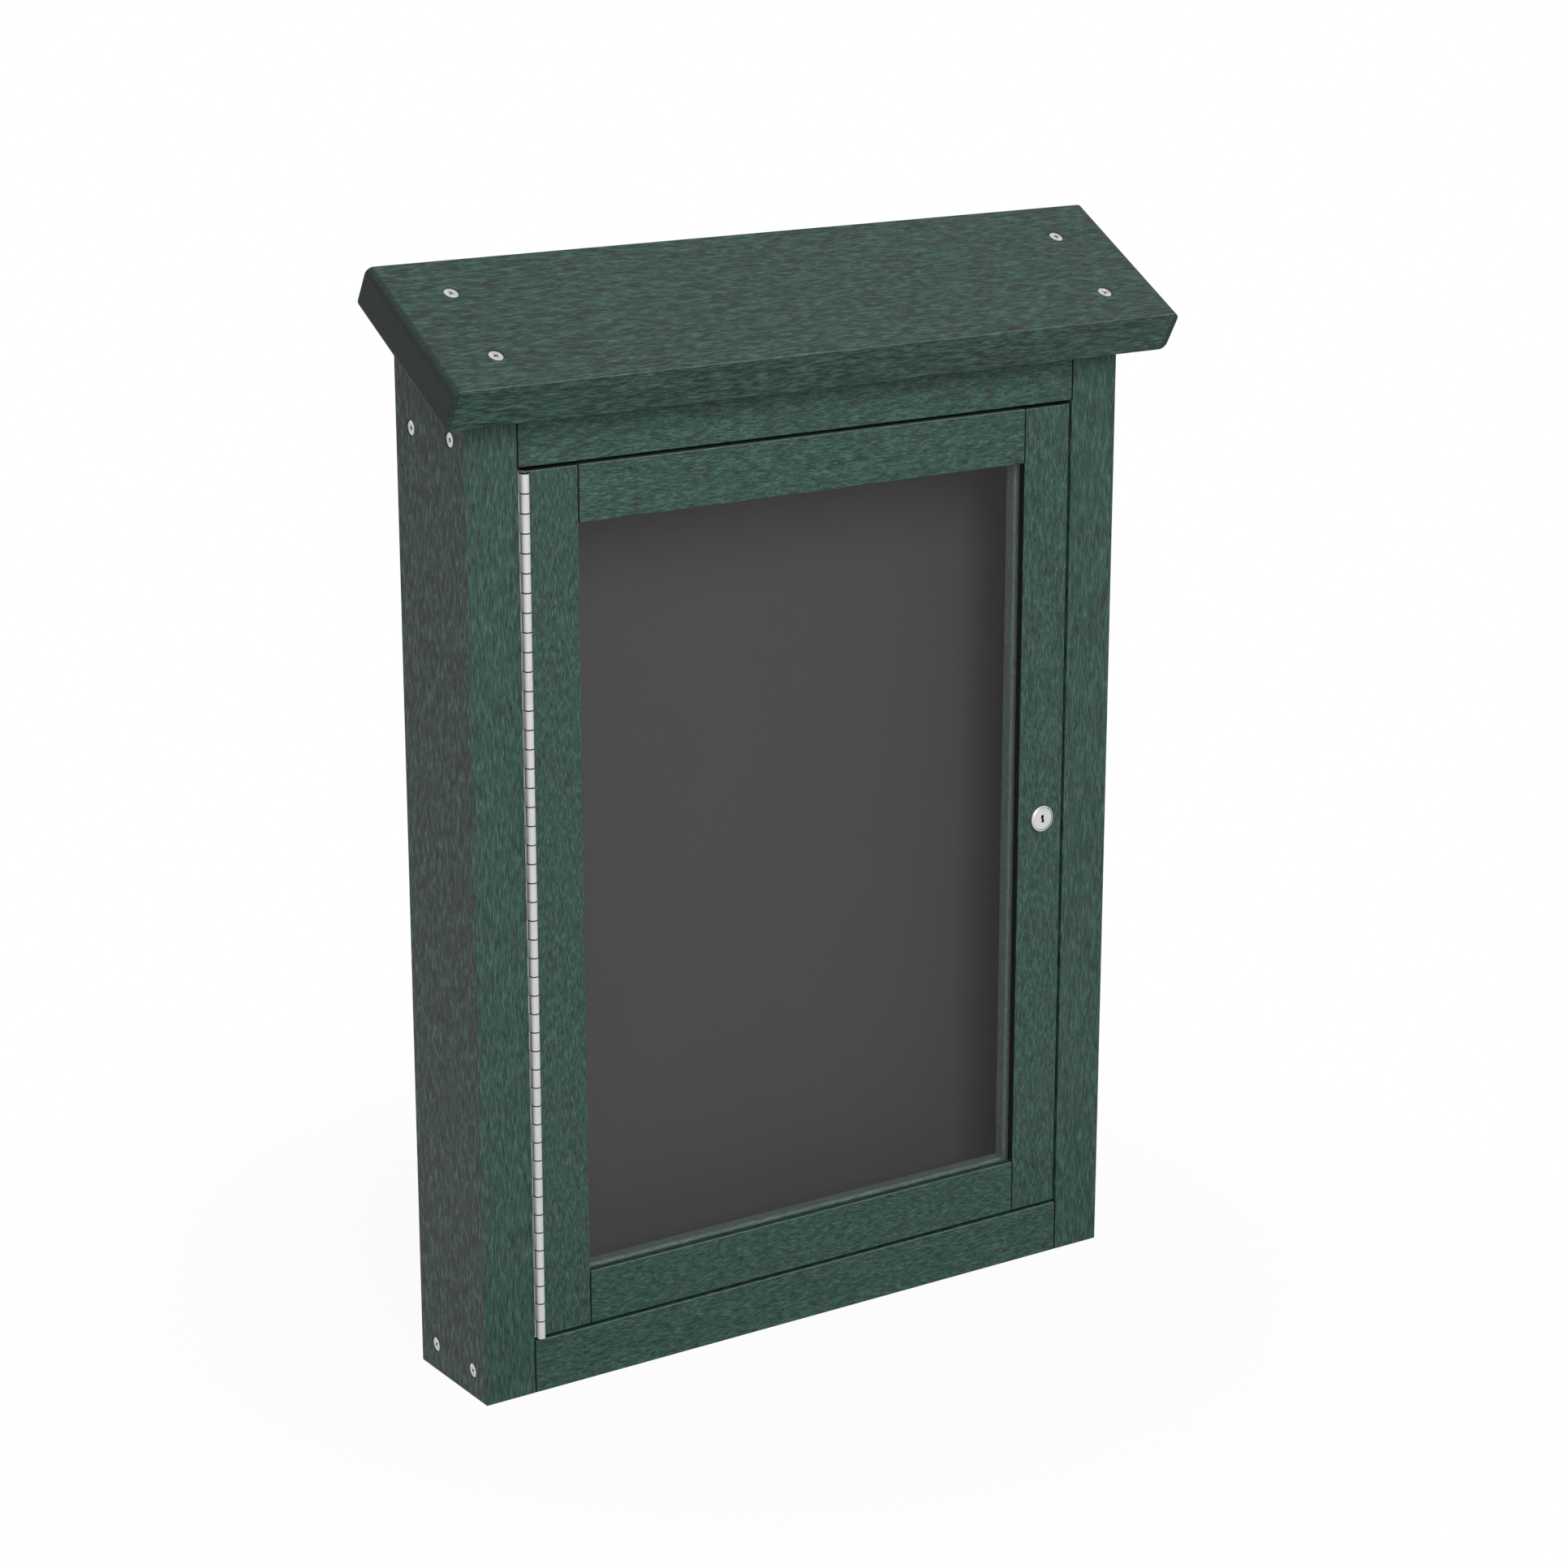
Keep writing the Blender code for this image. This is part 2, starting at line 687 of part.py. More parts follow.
def hinge_screws(build, label, leaf, host, side):
    """Screws from the space between the leaves, through a leaf into its board."""
    face = HINGE_X + side * (KNUCKLE_RADIUS - LEAF_THICKNESS)
    for number, z in enumerate(hinge_screw_heights(), 1):
        name = f"hinge_{label}_screw_{number}"
        place = (face, LEAF_SCREW_Y, z)
        sunk_screw(build, name, place, (side, 0.0, 0.0), small_screw(), (leaf, host))


def hinge_pin(build):
    mesh = bpy.data.meshes.new("hinge_pin")
    shape = bmesh.new()
    bmesh.ops.create_cone(
        shape,
        cap_ends=True,
        segments=BORE_SIDES,
        radius1=PIN_RADIUS,
        radius2=PIN_RADIUS,
        depth=HINGE_LENGTH,
    )
    shape.to_mesh(mesh)
    shape.free()
    build.add("hinge_pin", mesh, (HINGE_X, HINGE_Y, 0.0), look=steel_look())


def front_point(behind):
    """A point on the lock's axis, at a depth behind the door's front face."""
    return (LOCK_X, FRONT_Y + behind, LOCK_Z)


def lock_housing(build, stile):
    """Flange and barrel in one turned piece, bored for the plug and its cap."""
    cap_bore = PLUG_CAP_RADIUS + HOLE_PLAY
    cap_seat = PLUG_CAP_BACK - SEAT
    profile = [
        (LOCK_BORE_RADIUS, cap_seat),
        (cap_bore, cap_seat),
        (cap_bore, LOCK_FLANGE_PROUD),
        (LOCK_FLANGE_RADIUS - LOCK_FLANGE_EASE, LOCK_FLANGE_PROUD),
        (LOCK_FLANGE_RADIUS, LOCK_FLANGE_PROUD - LOCK_FLANGE_EASE),
        (LOCK_FLANGE_RADIUS, SEAT),
        (LOCK_BARREL_RADIUS, SEAT),
        (LOCK_BARREL_RADIUS, -BARREL_END),
        (LOCK_BORE_RADIUS, -BARREL_END),
    ]
    mesh = profile_mesh("lock_housing", profile, closed=True)
    housing = build.add("lock_housing", mesh, front_point(0.0), OUT_OF_FRONT, steel_look())
    turn_profile(housing, LOCK_SIDES)
    hole = [
        (0.0, CUT_OVERRUN),
        (LOCK_BARREL_RADIUS + HOLE_PLAY, CUT_OVERRUN),
        (LOCK_BARREL_RADIUS + HOLE_PLAY, -BARREL_END),
        (0.0, -BARREL_END),
    ]
    mesh = profile_mesh("lock_hole", hole)
    cutter = build.add_cutter("lock_hole", mesh, front_point(0.0), OUT_OF_FRONT)
    turn_profile(cutter, LOCK_SIDES)
    boolean(stile, cutter)


def lock_nut(build):
    radius = NUT_ACROSS_FLATS / 2 / math.cos(math.pi / 6)
    outlines = [circle(radius, 6), circle(LOCK_BARREL_RADIUS + HOLE_PLAY, LOCK_SIDES)]
    mesh = outline_mesh("lock_nut", outlines, NUT_THICKNESS)
    place = front_point(DOOR_THICKNESS + SEAT + NUT_THICKNESS / 2)
    build.add("lock_nut", mesh, place, OUT_OF_FRONT, steel_look())


def lock_plug(build):
    """The turning plug, with a keyway in its cap and a square tang for the cam."""
    shoulder = BARREL_END + SEAT
    profile = [
        (0.0, PLUG_FACE),
        (PLUG_CAP_RADIUS, PLUG_FACE),
        (PLUG_CAP_RADIUS, PLUG_CAP_BACK),
        (PLUG_RADIUS, PLUG_CAP_BACK),
        (PLUG_RADIUS, -shoulder),
        (0.0, -shoulder),
    ]
    mesh = profile_mesh("lock_plug", profile)
    plug = build.add("lock_plug", mesh, front_point(0.0), OUT_OF_FRONT, steel_look())
    turn_profile(plug, LOCK_SIDES)

    half = TANG_SIDE / 2
    tang_low = (-half, -half, -CAM_BACK + SEAT)
    tang_high = (half, half, -shoulder + TANG_ROOT)
    tang = box_mesh("plug_tang", [(tang_low, tang_high)])
    boolean(plug, build.add_cutter("plug_tang", tang, front_point(0.0), OUT_OF_FRONT), "UNION")

    key_low = (-KEYWAY_WIDTH / 2, -KEYWAY_HEIGHT / 2, PLUG_FACE - KEYWAY_DEPTH)
    key_high = (KEYWAY_WIDTH / 2, KEYWAY_HEIGHT / 2, PLUG_FACE + CUT_OVERRUN)
    keyway = box_mesh("keyway", [(key_low, key_high)])
    boolean(plug, build.add_cutter("keyway", keyway, front_point(0.0), OUT_OF_FRONT))
    return plug


def cam_outline():
    """A round hub that narrows to a round tip, pointing down."""
    drop = CAM_LENGTH - CAM_TIP_RADIUS
    lean = math.asin((CAM_HUB_RADIUS - CAM_TIP_RADIUS) / drop)
    hub = arc((0.0, 0.0), CAM_HUB_RADIUS, -lean, math.pi + lean, CAM_ARC_STEPS)
    tip = arc((0.0, -drop), CAM_TIP_RADIUS, math.pi + lean, math.tau - lean, CAM_ARC_STEPS)
    return hub + tip


def lock_cam(build):
    half = TANG_SIDE / 2 + CAM_HOLE_PLAY
    hole = [(-half, -half), (half, -half), (half, half), (-half, half)]
    mesh = outline_mesh("lock_cam", [cam_outline(), hole], CAM_THICKNESS)
    place = front_point((CAM_FRONT + CAM_BACK) / 2)
    build.add("lock_cam", mesh, place, OUT_OF_FRONT, steel_look())


def cam_screw(build, plug):
    """A pan-head screw from behind, through the cam into the plug's tang."""
    place = front_point(CAM_BACK + SEAT)
    rotation = drive_rotation((0.0, -1.0, 0.0))
    head = CAM_SCREW_HEAD
    height = CAM_SCREW_HEAD_HEIGHT
    profile = [
        (0.0, height),
        (head * 0.7, height),
        (head, height * 0.5),
        (head, 0.0),
        (CAM_SCREW_SHANK, 0.0),
        (CAM_SCREW_SHANK, -CAM_SCREW_LENGTH),
        (0.0, -CAM_SCREW_LENGTH),
    ]
    mesh = profile_mesh("lock_cam_screw", profile)
    screw = build.add("lock_cam_screw", mesh, place, rotation, steel_look())
    turn_profile(screw, SCREW_SIDES)
    radius = CAM_SCREW_SHANK + HOLE_PLAY
    depth = CAM_SCREW_LENGTH + HOLE_PLAY
    hole = [(0.0, 0.0), (radius, 0.0), (radius, -depth), (0.0, -depth)]
    cutter = build.add_cutter("cam_screw_hole", profile_mesh("cam_screw_hole", hole), place, rotation)
    turn_profile(cutter, SCREW_SIDES)
    boolean(plug, cutter)


def lock_strike(build, board):
    """An angle on the right side board, whose flange the cam turns behind."""
    flange_back = FRONT_Y + CAM_FRONT - SEAT
    flange_front = flange_back - STRIKE_THICKNESS
    wall = INNER_X - SEAT
    outline = [
        (wall - STRIKE_REACH, flange_front),
        (wall, flange_front),
        (wall, flange_front + STRIKE_LEG),
        (wall - STRIKE_THICKNESS, flange_front + STRIKE_LEG),
        (wall - STRIKE_THICKNESS, flange_back),
        (wall - STRIKE_REACH, flange_back),
    ]
    mesh = outline_mesh("lock_strike", [outline], STRIKE_HEIGHT)
    strike = build.add("lock_strike", mesh, (0.0, 0.0, LOCK_Z), look=steel_look())
    y = flange_front + STRIKE_LEG / 2 + STRIKE_THICKNESS
    for number, level in enumerate((-1, 1), 1):
        place = (wall - STRIKE_THICKNESS, y, LOCK_Z + level * STRIKE_SCREW_SPACING / 2)
        name = f"lock_strike_screw_{number}"
        sunk_screw(build, name, place, (1.0, 0.0, 0.0), small_screw(), (strike, board))


def build_hinge_on_case(build, left_board):
    leaf = hinge_leaf(build, "hinge_frame_leaf", -1, 0)
    hinge_pin(build)
    hinge_screws(build, "frame", leaf, left_board, -1)


def build_door(build):
    left, right, top, bottom = door_frame(build)
    window_pane(build)
    glazing_strips(build)
    stiles = ((DOOR_LEFT, 1.0, left), (DOOR_RIGHT, -1.0, right))
    corner_screws(build, stiles, ((-1, bottom), (1, top)))
    leaf = hinge_leaf(build, "hinge_door_leaf", 1, 1)
    hinge_screws(build, "door", leaf, left, 1)
    lock_housing(build, right)
    lock_nut(build)


def build_lock(build):
    plug = lock_plug(build)
    lock_cam(build)
    cam_screw(build, plug)


def main():
    clear_scene()
    build = Builder()
    left, right = build_case(build)
    build_hinge_on_case(build, left)
    lock_strike(build, right)
    build.parent = build.axis_empty("door_axis", (HINGE_X, HINGE_Y, 0.0))
    build_door(build)
    build.parent = build.axis_empty("lock_axis", front_point(0.0))
    build_lock(build)


main()
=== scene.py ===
"""Looks for the wall message board: its lumber, hardware, window and studio.

Each group of pieces has an operator in the sidebar of the 3D view, and its sizes and
colours are settings there.
"""

import json
import math
from functools import cache

import bmesh
import bpy
from bpy.props import FloatProperty, FloatVectorProperty, IntProperty, PointerProperty
from mathutils import Matrix, Vector

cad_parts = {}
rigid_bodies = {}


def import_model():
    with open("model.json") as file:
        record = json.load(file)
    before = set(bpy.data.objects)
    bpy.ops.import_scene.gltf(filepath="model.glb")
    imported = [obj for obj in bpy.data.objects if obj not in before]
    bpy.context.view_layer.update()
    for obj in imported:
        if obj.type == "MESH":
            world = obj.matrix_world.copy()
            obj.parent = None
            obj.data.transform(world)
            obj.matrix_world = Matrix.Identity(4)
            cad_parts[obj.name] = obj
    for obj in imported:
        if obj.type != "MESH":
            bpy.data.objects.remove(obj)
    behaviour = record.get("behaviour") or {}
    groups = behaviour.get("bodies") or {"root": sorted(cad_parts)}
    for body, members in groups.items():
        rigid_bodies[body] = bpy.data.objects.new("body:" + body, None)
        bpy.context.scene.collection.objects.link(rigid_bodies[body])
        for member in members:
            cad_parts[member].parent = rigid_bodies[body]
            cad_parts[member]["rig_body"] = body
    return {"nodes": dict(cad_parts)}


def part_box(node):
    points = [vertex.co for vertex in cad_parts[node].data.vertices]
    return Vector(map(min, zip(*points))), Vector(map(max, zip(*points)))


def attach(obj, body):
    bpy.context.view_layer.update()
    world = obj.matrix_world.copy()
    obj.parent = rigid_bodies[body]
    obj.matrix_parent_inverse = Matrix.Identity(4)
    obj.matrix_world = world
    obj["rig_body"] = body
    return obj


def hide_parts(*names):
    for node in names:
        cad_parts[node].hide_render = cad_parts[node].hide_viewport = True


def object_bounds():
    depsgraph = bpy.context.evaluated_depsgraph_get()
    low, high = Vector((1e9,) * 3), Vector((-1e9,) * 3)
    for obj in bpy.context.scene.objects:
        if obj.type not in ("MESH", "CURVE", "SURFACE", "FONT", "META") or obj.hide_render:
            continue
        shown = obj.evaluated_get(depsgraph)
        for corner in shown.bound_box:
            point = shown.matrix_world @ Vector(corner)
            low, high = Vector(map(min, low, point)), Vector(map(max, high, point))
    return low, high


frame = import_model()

bl_info = {
    "name": "Wall message board looks",
    "version": (1, 0, 0),
    "blender": (4, 5, 0),
    "location": "View3D > Sidebar > Message Board",
    "description": "Looks of a wall message board",
    "category": "Object",
}

NODES = frame["nodes"]
CAD_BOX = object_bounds()
MM = 0.001

# Which way the length of each lumber board runs. Its place in the list sets its pattern
BOARDS = {
    "left_side_board": "Z",
    "right_side_board": "Z",
    "top_board": "X",
    "bottom_board": "X",
    "door_left_stile": "Z",
    "door_right_stile": "Z",
    "door_top_rail": "X",
    "door_bottom_rail": "X",
    "glazing_strip_left": "Z",
    "glazing_strip_right": "Z",
    "glazing_strip_top": "X",
    "glazing_strip_bottom": "X",
}
ROOF_SEED = 13
ROOF_TILT = math.radians(30.0)

# Each kind of board: how much coarser its streaks are along X, Y and Z, the tones
# between which its dark flecks fade, and how grey its patches are
KINDS = {
    "board": ((1.0, 1.0, 1.0), (0.38, 0.49), 0.6),
    "strip": ((1.0, 1.0, 1.0), (0.38, 0.49), 0.6),
    "side": ((1.0, 1.7, 1.6), (0.38, 0.49), 0.6),
    "roof": ((1.6, 1.15, 1.15), (0.41, 0.52), 0.5),
}

# Where a field starts to show on the lumber, and where it shows in full
PALE_TONES = (0.49, 0.60)
PATCH_TONES = (0.50, 0.64)
SAWN_FACING = (0.70, 0.80)
# Facing of the outer sides, where their painted sheen and shade show
OUTER_FACING = (0.6, 0.9)
DUST_HEIGHTS = (-280 * MM, -220 * MM)

HOLE_PLAY = 0.3 * MM
SCREW_TIP = 4 * MM

# Where the camera and the main lamp stand, and the camera's turn in degrees
CAMERA_PLACE = (-1.37095, -2.10493, 0.75196)
CAMERA_TURN = (74.0835, 0.0, -33.8512)
KEY_PLACE = (-0.85, -3.0, 1.85)


# Settings


def number(name, description, default, low=0.0, **kind):
    return FloatProperty(name=name, description=description, default=default, min=low, **kind)


def length(*about):
    return number(*about, precision=4, subtype="DISTANCE", unit="LENGTH")


def share(*about):
    return number(*about, max=1.0, subtype="FACTOR")


def linear(*display):
    """Display values from 0 to 255 as a linear colour."""
    values = (value / 255 for value in display)
    return tuple(v / 12.92 if v <= 0.04045 else ((v + 0.055) / 1.055) ** 2.4 for v in values)


def colour(name, description, *display):
    about = {"name": name, "description": description, "default": linear(*display)}
    return FloatVectorProperty(**about, size=3, min=0.0, max=1.0, subtype="COLOR")


class LumberSettings(bpy.types.PropertyGroup):
    """The streaked green plastic lumber."""

    base: colour("Green", "Of most of the lumber", 37, 66, 58)
    light: colour("Light fibre", "Of the pale streaks", 68, 101, 92)
    dark: colour("Dark fleck", "Of the dark flecks", 12, 28, 23)
    grey: colour("Grey patch", "Of the greyish patches", 48, 55, 52)
    end: colour("Cut end", "Of a sawn end", 25, 37, 33)
    dust: colour("Dust", "Of the thin dust on it", 160, 160, 158)
    # Painted light: the grey toward which the painted sheen, the lit strips and the painted
    # highlights are blended
    painted_light_grey: colour("Bleached grey", "Of the faded outer sides", 104, 107, 106)
    # Dark colour of the joints, also used for the painted shade on the faces that look into the
    # window
    joint: colour("Joint", "Deep in a joint", 4, 10, 8)
    streak_width: length("Streak width", "Across the grain", 0.65 * MM)
    streak_length: length("Streak length", "Along the grain", 5.5 * MM)
    joint_width: length("Joint width", "Half the dark line where two boards meet", 0.65 * MM)
    roughness: share("Roughness", "Middle roughness of the surface", 0.55)
    gloss: share("Gloss", "How strongly the surface shines", 0.24)


class HardwareSettings(bpy.types.PropertyGroup):
    """Screws, hinge and lock."""

    steel: colour("Steel", "Of the bare steel", 208, 208, 208)
    lock_steel: colour("Lock plating", "Of the lock's plating", 212, 212, 212)
    # Painted shade: the pin is made dark so that the gaps between the knuckles look shaded
    shaded_pin_steel: colour("Hinge pin", "Of the greased pin", 60, 62, 62)
    head_radius: length("Screw head radius", "Of the large screws", 5.0 * MM)
    shank_radius: length("Screw shank radius", "Of the large screws", 2.4 * MM)
    head_depth: length("Screw head depth", "Of the head's cone", 2.6 * MM)
    small_head_radius: length("Small head radius", "Of the small screws", 3.2 * MM)
    small_shank_radius: length("Small shank radius", "Of the small screws", 1.75 * MM)
    small_head_depth: length("Small head depth", "Of the head's cone", 1.45 * MM)
    knuckles: IntProperty(name="Knuckles", description="On both leaves", default=46, min=2)
    knuckle_radius: length("Knuckle radius", "Outside of the rolled barrel", 2.9 * MM)
    knuckle_gap: length("Knuckle gap", "Between neighbouring knuckles", 0.4 * MM)
    knuckle_edge: length("Knuckle edge", "Rounding of a knuckle's ends", 0.25 * MM)
    leaf_thickness: length("Leaf thickness", "Of the hinge's sheet", 1.2 * MM)
    notch_back: length("Notch", "How far behind the pin a leaf starts", 3.5 * MM)
    flange_radius: length("Lock flange radius", "The face of the lock", 9.5 * MM)
    cap_back: length("Lock cap", "From the door to the back of the plug's cap", 1.9 * MM)
    cap_play: length("Cap play", "Round the plug's cap and under it", 0.3 * MM)
    bore_radius: length("Lock bore radius", "Round the plug's body", 5.4 * MM)
    barrel_radius: length("Lock barrel radius", "The threaded barrel", 8.0 * MM)

    def large(self):
        """Head radius, shank radius and head depth of a large screw."""
        return self.head_radius, self.shank_radius, self.head_depth

    def small(self):
        """The same of a small screw."""
        return self.small_head_radius, self.small_shank_radius, self.small_head_depth


class WindowSettings(bpy.types.PropertyGroup):
    """Pane, display board and back panel."""

    display: colour("Display board", "Of the display board", 67, 66, 66)
    panel: colour("Back panel", "Of the back panel", 50, 53, 52)
    pane: colour("Pane", "Tint of the clear pane", 249, 249, 249)
    pane_index: number("Pane index", "Index of refraction", 1.5, 1.0)
    mirror_start: share("Mirror start", "Mirror share below which none shows", 0.054)
    # Painted reflection: strength of the even glow on the pane's front, in place of the white room
    # mirrored
    painted_reflection: share("Haze", "Share of the white room that the pane mirrors", 0.025)


class StudioSettings(bpy.types.PropertyGroup):
    """Floor, lamp and camera."""

    floor: colour("Floor", "Of the floor", 240, 240, 240)
    floor_size: length("Floor size", "Side of the floor", 14.0)
    ambient: number("Ambient", "Light from all round", 0.22)
    shadow_share: share("Floor shadow", "How much of the shadow shows on the floor", 0.05)
    shadow_reach: length("Shadow reach", "Where the floor becomes plain white", 0.65)
    key_power: number("Key power", "Of the main lamp", 98.0)
    key_size: length("Key size", "Side of the main lamp", 2.2)
    lens: number("Lens", "In millimetres", 85.25, 1.0)


class BoardSettings(bpy.types.PropertyGroup):
    """All settings of the wall message board."""

    lumber: PointerProperty(type=LumberSettings)
    hardware: PointerProperty(type=HardwareSettings)
    window: PointerProperty(type=WindowSettings)
    studio: PointerProperty(type=StudioSettings)


# Materials

WHITE = (1.0, 1.0, 1.0, 1.0)

# Colour deep in a recess or a narrow gap of the metal
RECESS_SHADOW = linear(14, 15, 15)


def maths(operation, flipped=False):
    """A method of Field that adds one Math node."""

    def method(self, *others):
        values = (*others, self) if flipped else (self, *others)
        return self.look.node("ShaderNodeMath", {"operation": operation}, dict(enumerate(values)))

    return method


class Field:
    """A shader socket on which Python's arithmetic adds Math nodes."""

    def __init__(self, look, socket):
        self.look = look
        self.socket = socket

    __add__ = __radd__ = maths("ADD")
    __sub__ = maths("SUBTRACT")
    __rsub__ = maths("SUBTRACT", flipped=True)
    __mul__ = __rmul__ = maths("MULTIPLY")
    __truediv__ = maths("DIVIDE")
    __pow__ = maths("POWER")
    __abs__ = maths("ABSOLUTE")
    at_most = maths("MINIMUM")
    at_least = maths("MAXIMUM")
    fraction = maths("FRACT")

    def step(self, low, high):
        """0 below low, 1 above high, and smooth between them."""
        inputs = {"Value": self, "From Min": low, "From Max": high}
        return self.look.node("ShaderNodeMapRange", {"interpolation_type": "SMOOTHSTEP"}, inputs)


class Look:
    """A material, or the world, whose nodes are added one by one."""

    def __init__(self, name, blocks=bpy.data.materials):
        self.owner = blocks.new(name)
        self.owner.use_nodes = True
        self.tree = self.owner.node_tree
        self.tree.nodes.clear()

    def node(self, kind, settings=None, inputs=None, output=0):
        """Adds a node, sets it up, feeds its sockets and gives one of its outputs."""
        node = self.tree.nodes.new(kind)
        for key, value in (settings or {}).items():
            setattr(node, key, value)
        for key, value in (inputs or {}).items():
            socket = node.inputs[key]
            if isinstance(value, Field):
                self.tree.links.new(value.socket, socket)
            else:
                socket.default_value = value
        return Field(self, node.outputs[output])

    def place(self):
        """Where a point is in the part at rest."""
        return self.node("ShaderNodeTexCoord", output="Object")

    def facing(self):
        """Which way the surface faces in the part at rest."""
        return self.node("ShaderNodeTexCoord", output="Normal")

    def parts(self, vector):
        """The three parts of a vector."""
        first = self.node("ShaderNodeSeparateXYZ", inputs={0: vector})
        return tuple(Field(self, socket) for socket in first.socket.node.outputs)

    def stretch(self, vector, sizes, seed=0.0):
        """The place measured in cells of the given sizes, shifted by a seed."""
        scale = tuple(1.0 / size for size in sizes)
        shift = (seed * 13.7, seed * 7.3, seed * 3.1)
        inputs = {"Vector": vector, "Scale": scale, "Location": shift}
        return self.node("ShaderNodeMapping", inputs=inputs)

    def noise(self, vector, detail=2.0, roughness=0.5, distortion=0.0):
        inputs = {"Vector": vector, "Scale": 1.0, "Detail": detail}
        inputs |= {"Roughness": roughness, "Distortion": distortion}
        return self.node("ShaderNodeTexNoise", inputs=inputs)

    def blend(self, factor, first, second):
        """A colour between two others."""
        inputs = {0: factor, 6: self.rgba(first), 7: self.rgba(second)}
        return self.node("ShaderNodeMix", {"data_type": "RGBA", "clamp_factor": True}, inputs, 2)

    def scaled(self, paint, times):
        """A colour made brighter or darker."""
        inputs = {"Vector": paint, "Scale": times}
        return self.node("ShaderNodeVectorMath", {"operation": "SCALE"}, inputs)

    @staticmethod
    def rgba(value):
        return value if isinstance(value, Field) else (*value[:3], 1.0)

    def bump(self, height, depth, strength):
        inputs = {"Height": height, "Distance": depth, "Strength": strength}
        return self.node("ShaderNodeBump", inputs=inputs)

    def done(self, shader, kind="ShaderNodeOutputMaterial"):
        end = self.tree.nodes.new(kind)
        self.tree.links.new(shader.socket, end.inputs["Surface"])
        return self.owner

    def surface(self, **inputs):
        """The finished material, its shader fed with the inputs."""
        named = {key.replace("_", " "): value for key, value in inputs.items()}
        return self.done(self.node("ShaderNodeBsdfPrincipled", inputs=named))


def along_grain(axis, across, along):
    """Cell sizes with the long side on the grain's axis."""
    return tuple(along if letter == axis else across for letter in "XYZ")


class Lumber(Look):
    """One board's look: streaked, and plainly sawn where it faces along the grain."""

    def __init__(self, name, axis, seed, kind, settings):
        super().__init__(name)
        self.name, self.axis, self.seed = name, axis, seed
        self.kind, self.settings = kind, settings
        self.spot = self.place()
        self.x, self.y, self.z = self.parts(self.spot)
        self.faces = self.parts(self.facing())
        self.fibre = self.streaks(1.0, 1.0, 0.0, detail=4.0, roughness=0.6, distortion=0.15)
        self.hair = self.streaks(0.5, 0.6, 0.4, distortion=0.1)
        self.clump = self.streaks(4.0, 1.5, 0.7)
        self.tone = self.fibre * 0.5 + self.hair * 0.3 + self.clump * 0.2
        self.pale = self.tone.step(*PALE_TONES)

    def streaks(self, wide, long, shift, **shape):
        """Noise drawn out along the grain, its cells so many streaks wide and long."""
        wide *= self.settings.streak_width
        long *= self.settings.streak_length
        coarser = KINDS[self.kind][0]
        cells = [c * more for c, more in zip(along_grain(self.axis, wide, long), coarser)]
        return self.noise(self.stretch(self.spot, cells, self.seed + shift), **shape)

    def behind(self, front):
        """0 on a front edge, and 1 just behind it."""
        return self.y.step(front + 0.5 * MM, front + 0.9 * MM)

    def streaked(self):
        """The colours of a new board."""
        settings = self.settings
        _, fleck_tones, greyness = KINDS[self.kind]
        patches = self.streaks(9.0, 2.0, 0.2, detail=3.0).step(*PATCH_TONES)
        paint = self.blend(patches * greyness, settings.base, settings.grey)
        paint = self.blend(self.pale, paint, settings.light)
        return self.blend(1 - self.tone.step(*fleck_tones), paint, settings.dark)

    def painted_light_and_mottle(self, paint):
        """Painted light on each kind: sheen and shade on the outer sides, lit strips, painted
        highlights on edges, painted shade on the roof's front, and random mottle on the roof.
        """
        ahead = 0 - self.faces[1]
        upward = self.faces[2]
        if self.kind == "side":
            # Painted sheen and shade on the outer faces of the side boards: darker overall with
            # stronger streaks, and blended toward grey where pale, for the grey light that they
            # mirror at a slant
            outward = self.faces[0] * (-1 if self.name.startswith("left") else 1)
            outer = outward.step(*OUTER_FACING)
            contrast = (self.tone - 0.5) * 13.0 - 0.44
            painted_brightness = (1 + outer * contrast).at_least(0.15)
            lightened = outer * (0.06 + self.pale * 0.40)
        elif self.kind == "strip":
            # Painted light: the strips are drawn brighter and greyer than the lumber, as if lit,
            # with a painted highlight along the front edge, strongest on the bottom strip
            edge = 1 - self.behind(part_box(self.name)[0].y)
            painted_brightness = 1.8 + edge * (1.8 if self.name.endswith("bottom") else 0.3)
            lightened = 0.48
        elif self.kind == "roof":
            # Painted highlight along the front top edge, painted shade on the front face, and
            # random mottle
            painted_ridge = ahead.step(0.60, 0.70) * upward.step(-0.25, -0.15)
            mottle_and_shade = 1 + (self.clump - 0.5) * 0.5 - ahead.step(0.6, 0.8) * 0.16
            painted_brightness = mottle_and_shade + painted_ridge * 0.5
            lightened = painted_ridge * 0.45
        else:
            # Painted highlight along the upper front edges
            painted_ridge = ahead.step(0.2, 0.35) * upward.step(0.2, 0.35)
            painted_brightness = 1 + painted_ridge
            lightened = painted_ridge * 0.6
        return self.blend(lightened, self.scaled(paint, painted_brightness), self.settings.painted_light_grey)

    def sawn_part(self):
        """1 where the board faces along its grain, with a ragged border on the roof."""
        ragged = self.fibre - 0.5
        facing = abs(self.faces["XYZ".index(self.axis)])
        part = (facing + ragged * 0.6).step(*SAWN_FACING)
        if self.kind != "roof":
            return part
        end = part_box("roof_board")[1].x
        border = abs(self.x).step(end - 9.0 * MM, end - 2.0 * MM) + ragged * 1.6
        return part.at_least(border.step(0.62, 0.80) * 0.75)

    def dust(self):
        """How dusty the board is: a little more on what faces up."""
        falling = (0 - self.faces[2]).step(0.3, 0.5)
        rising = self.faces[2].step(0.4, 0.8)
        return (0.02 + rising * 0.012) * (1 - falling) * self.z.step(*DUST_HEIGHTS)

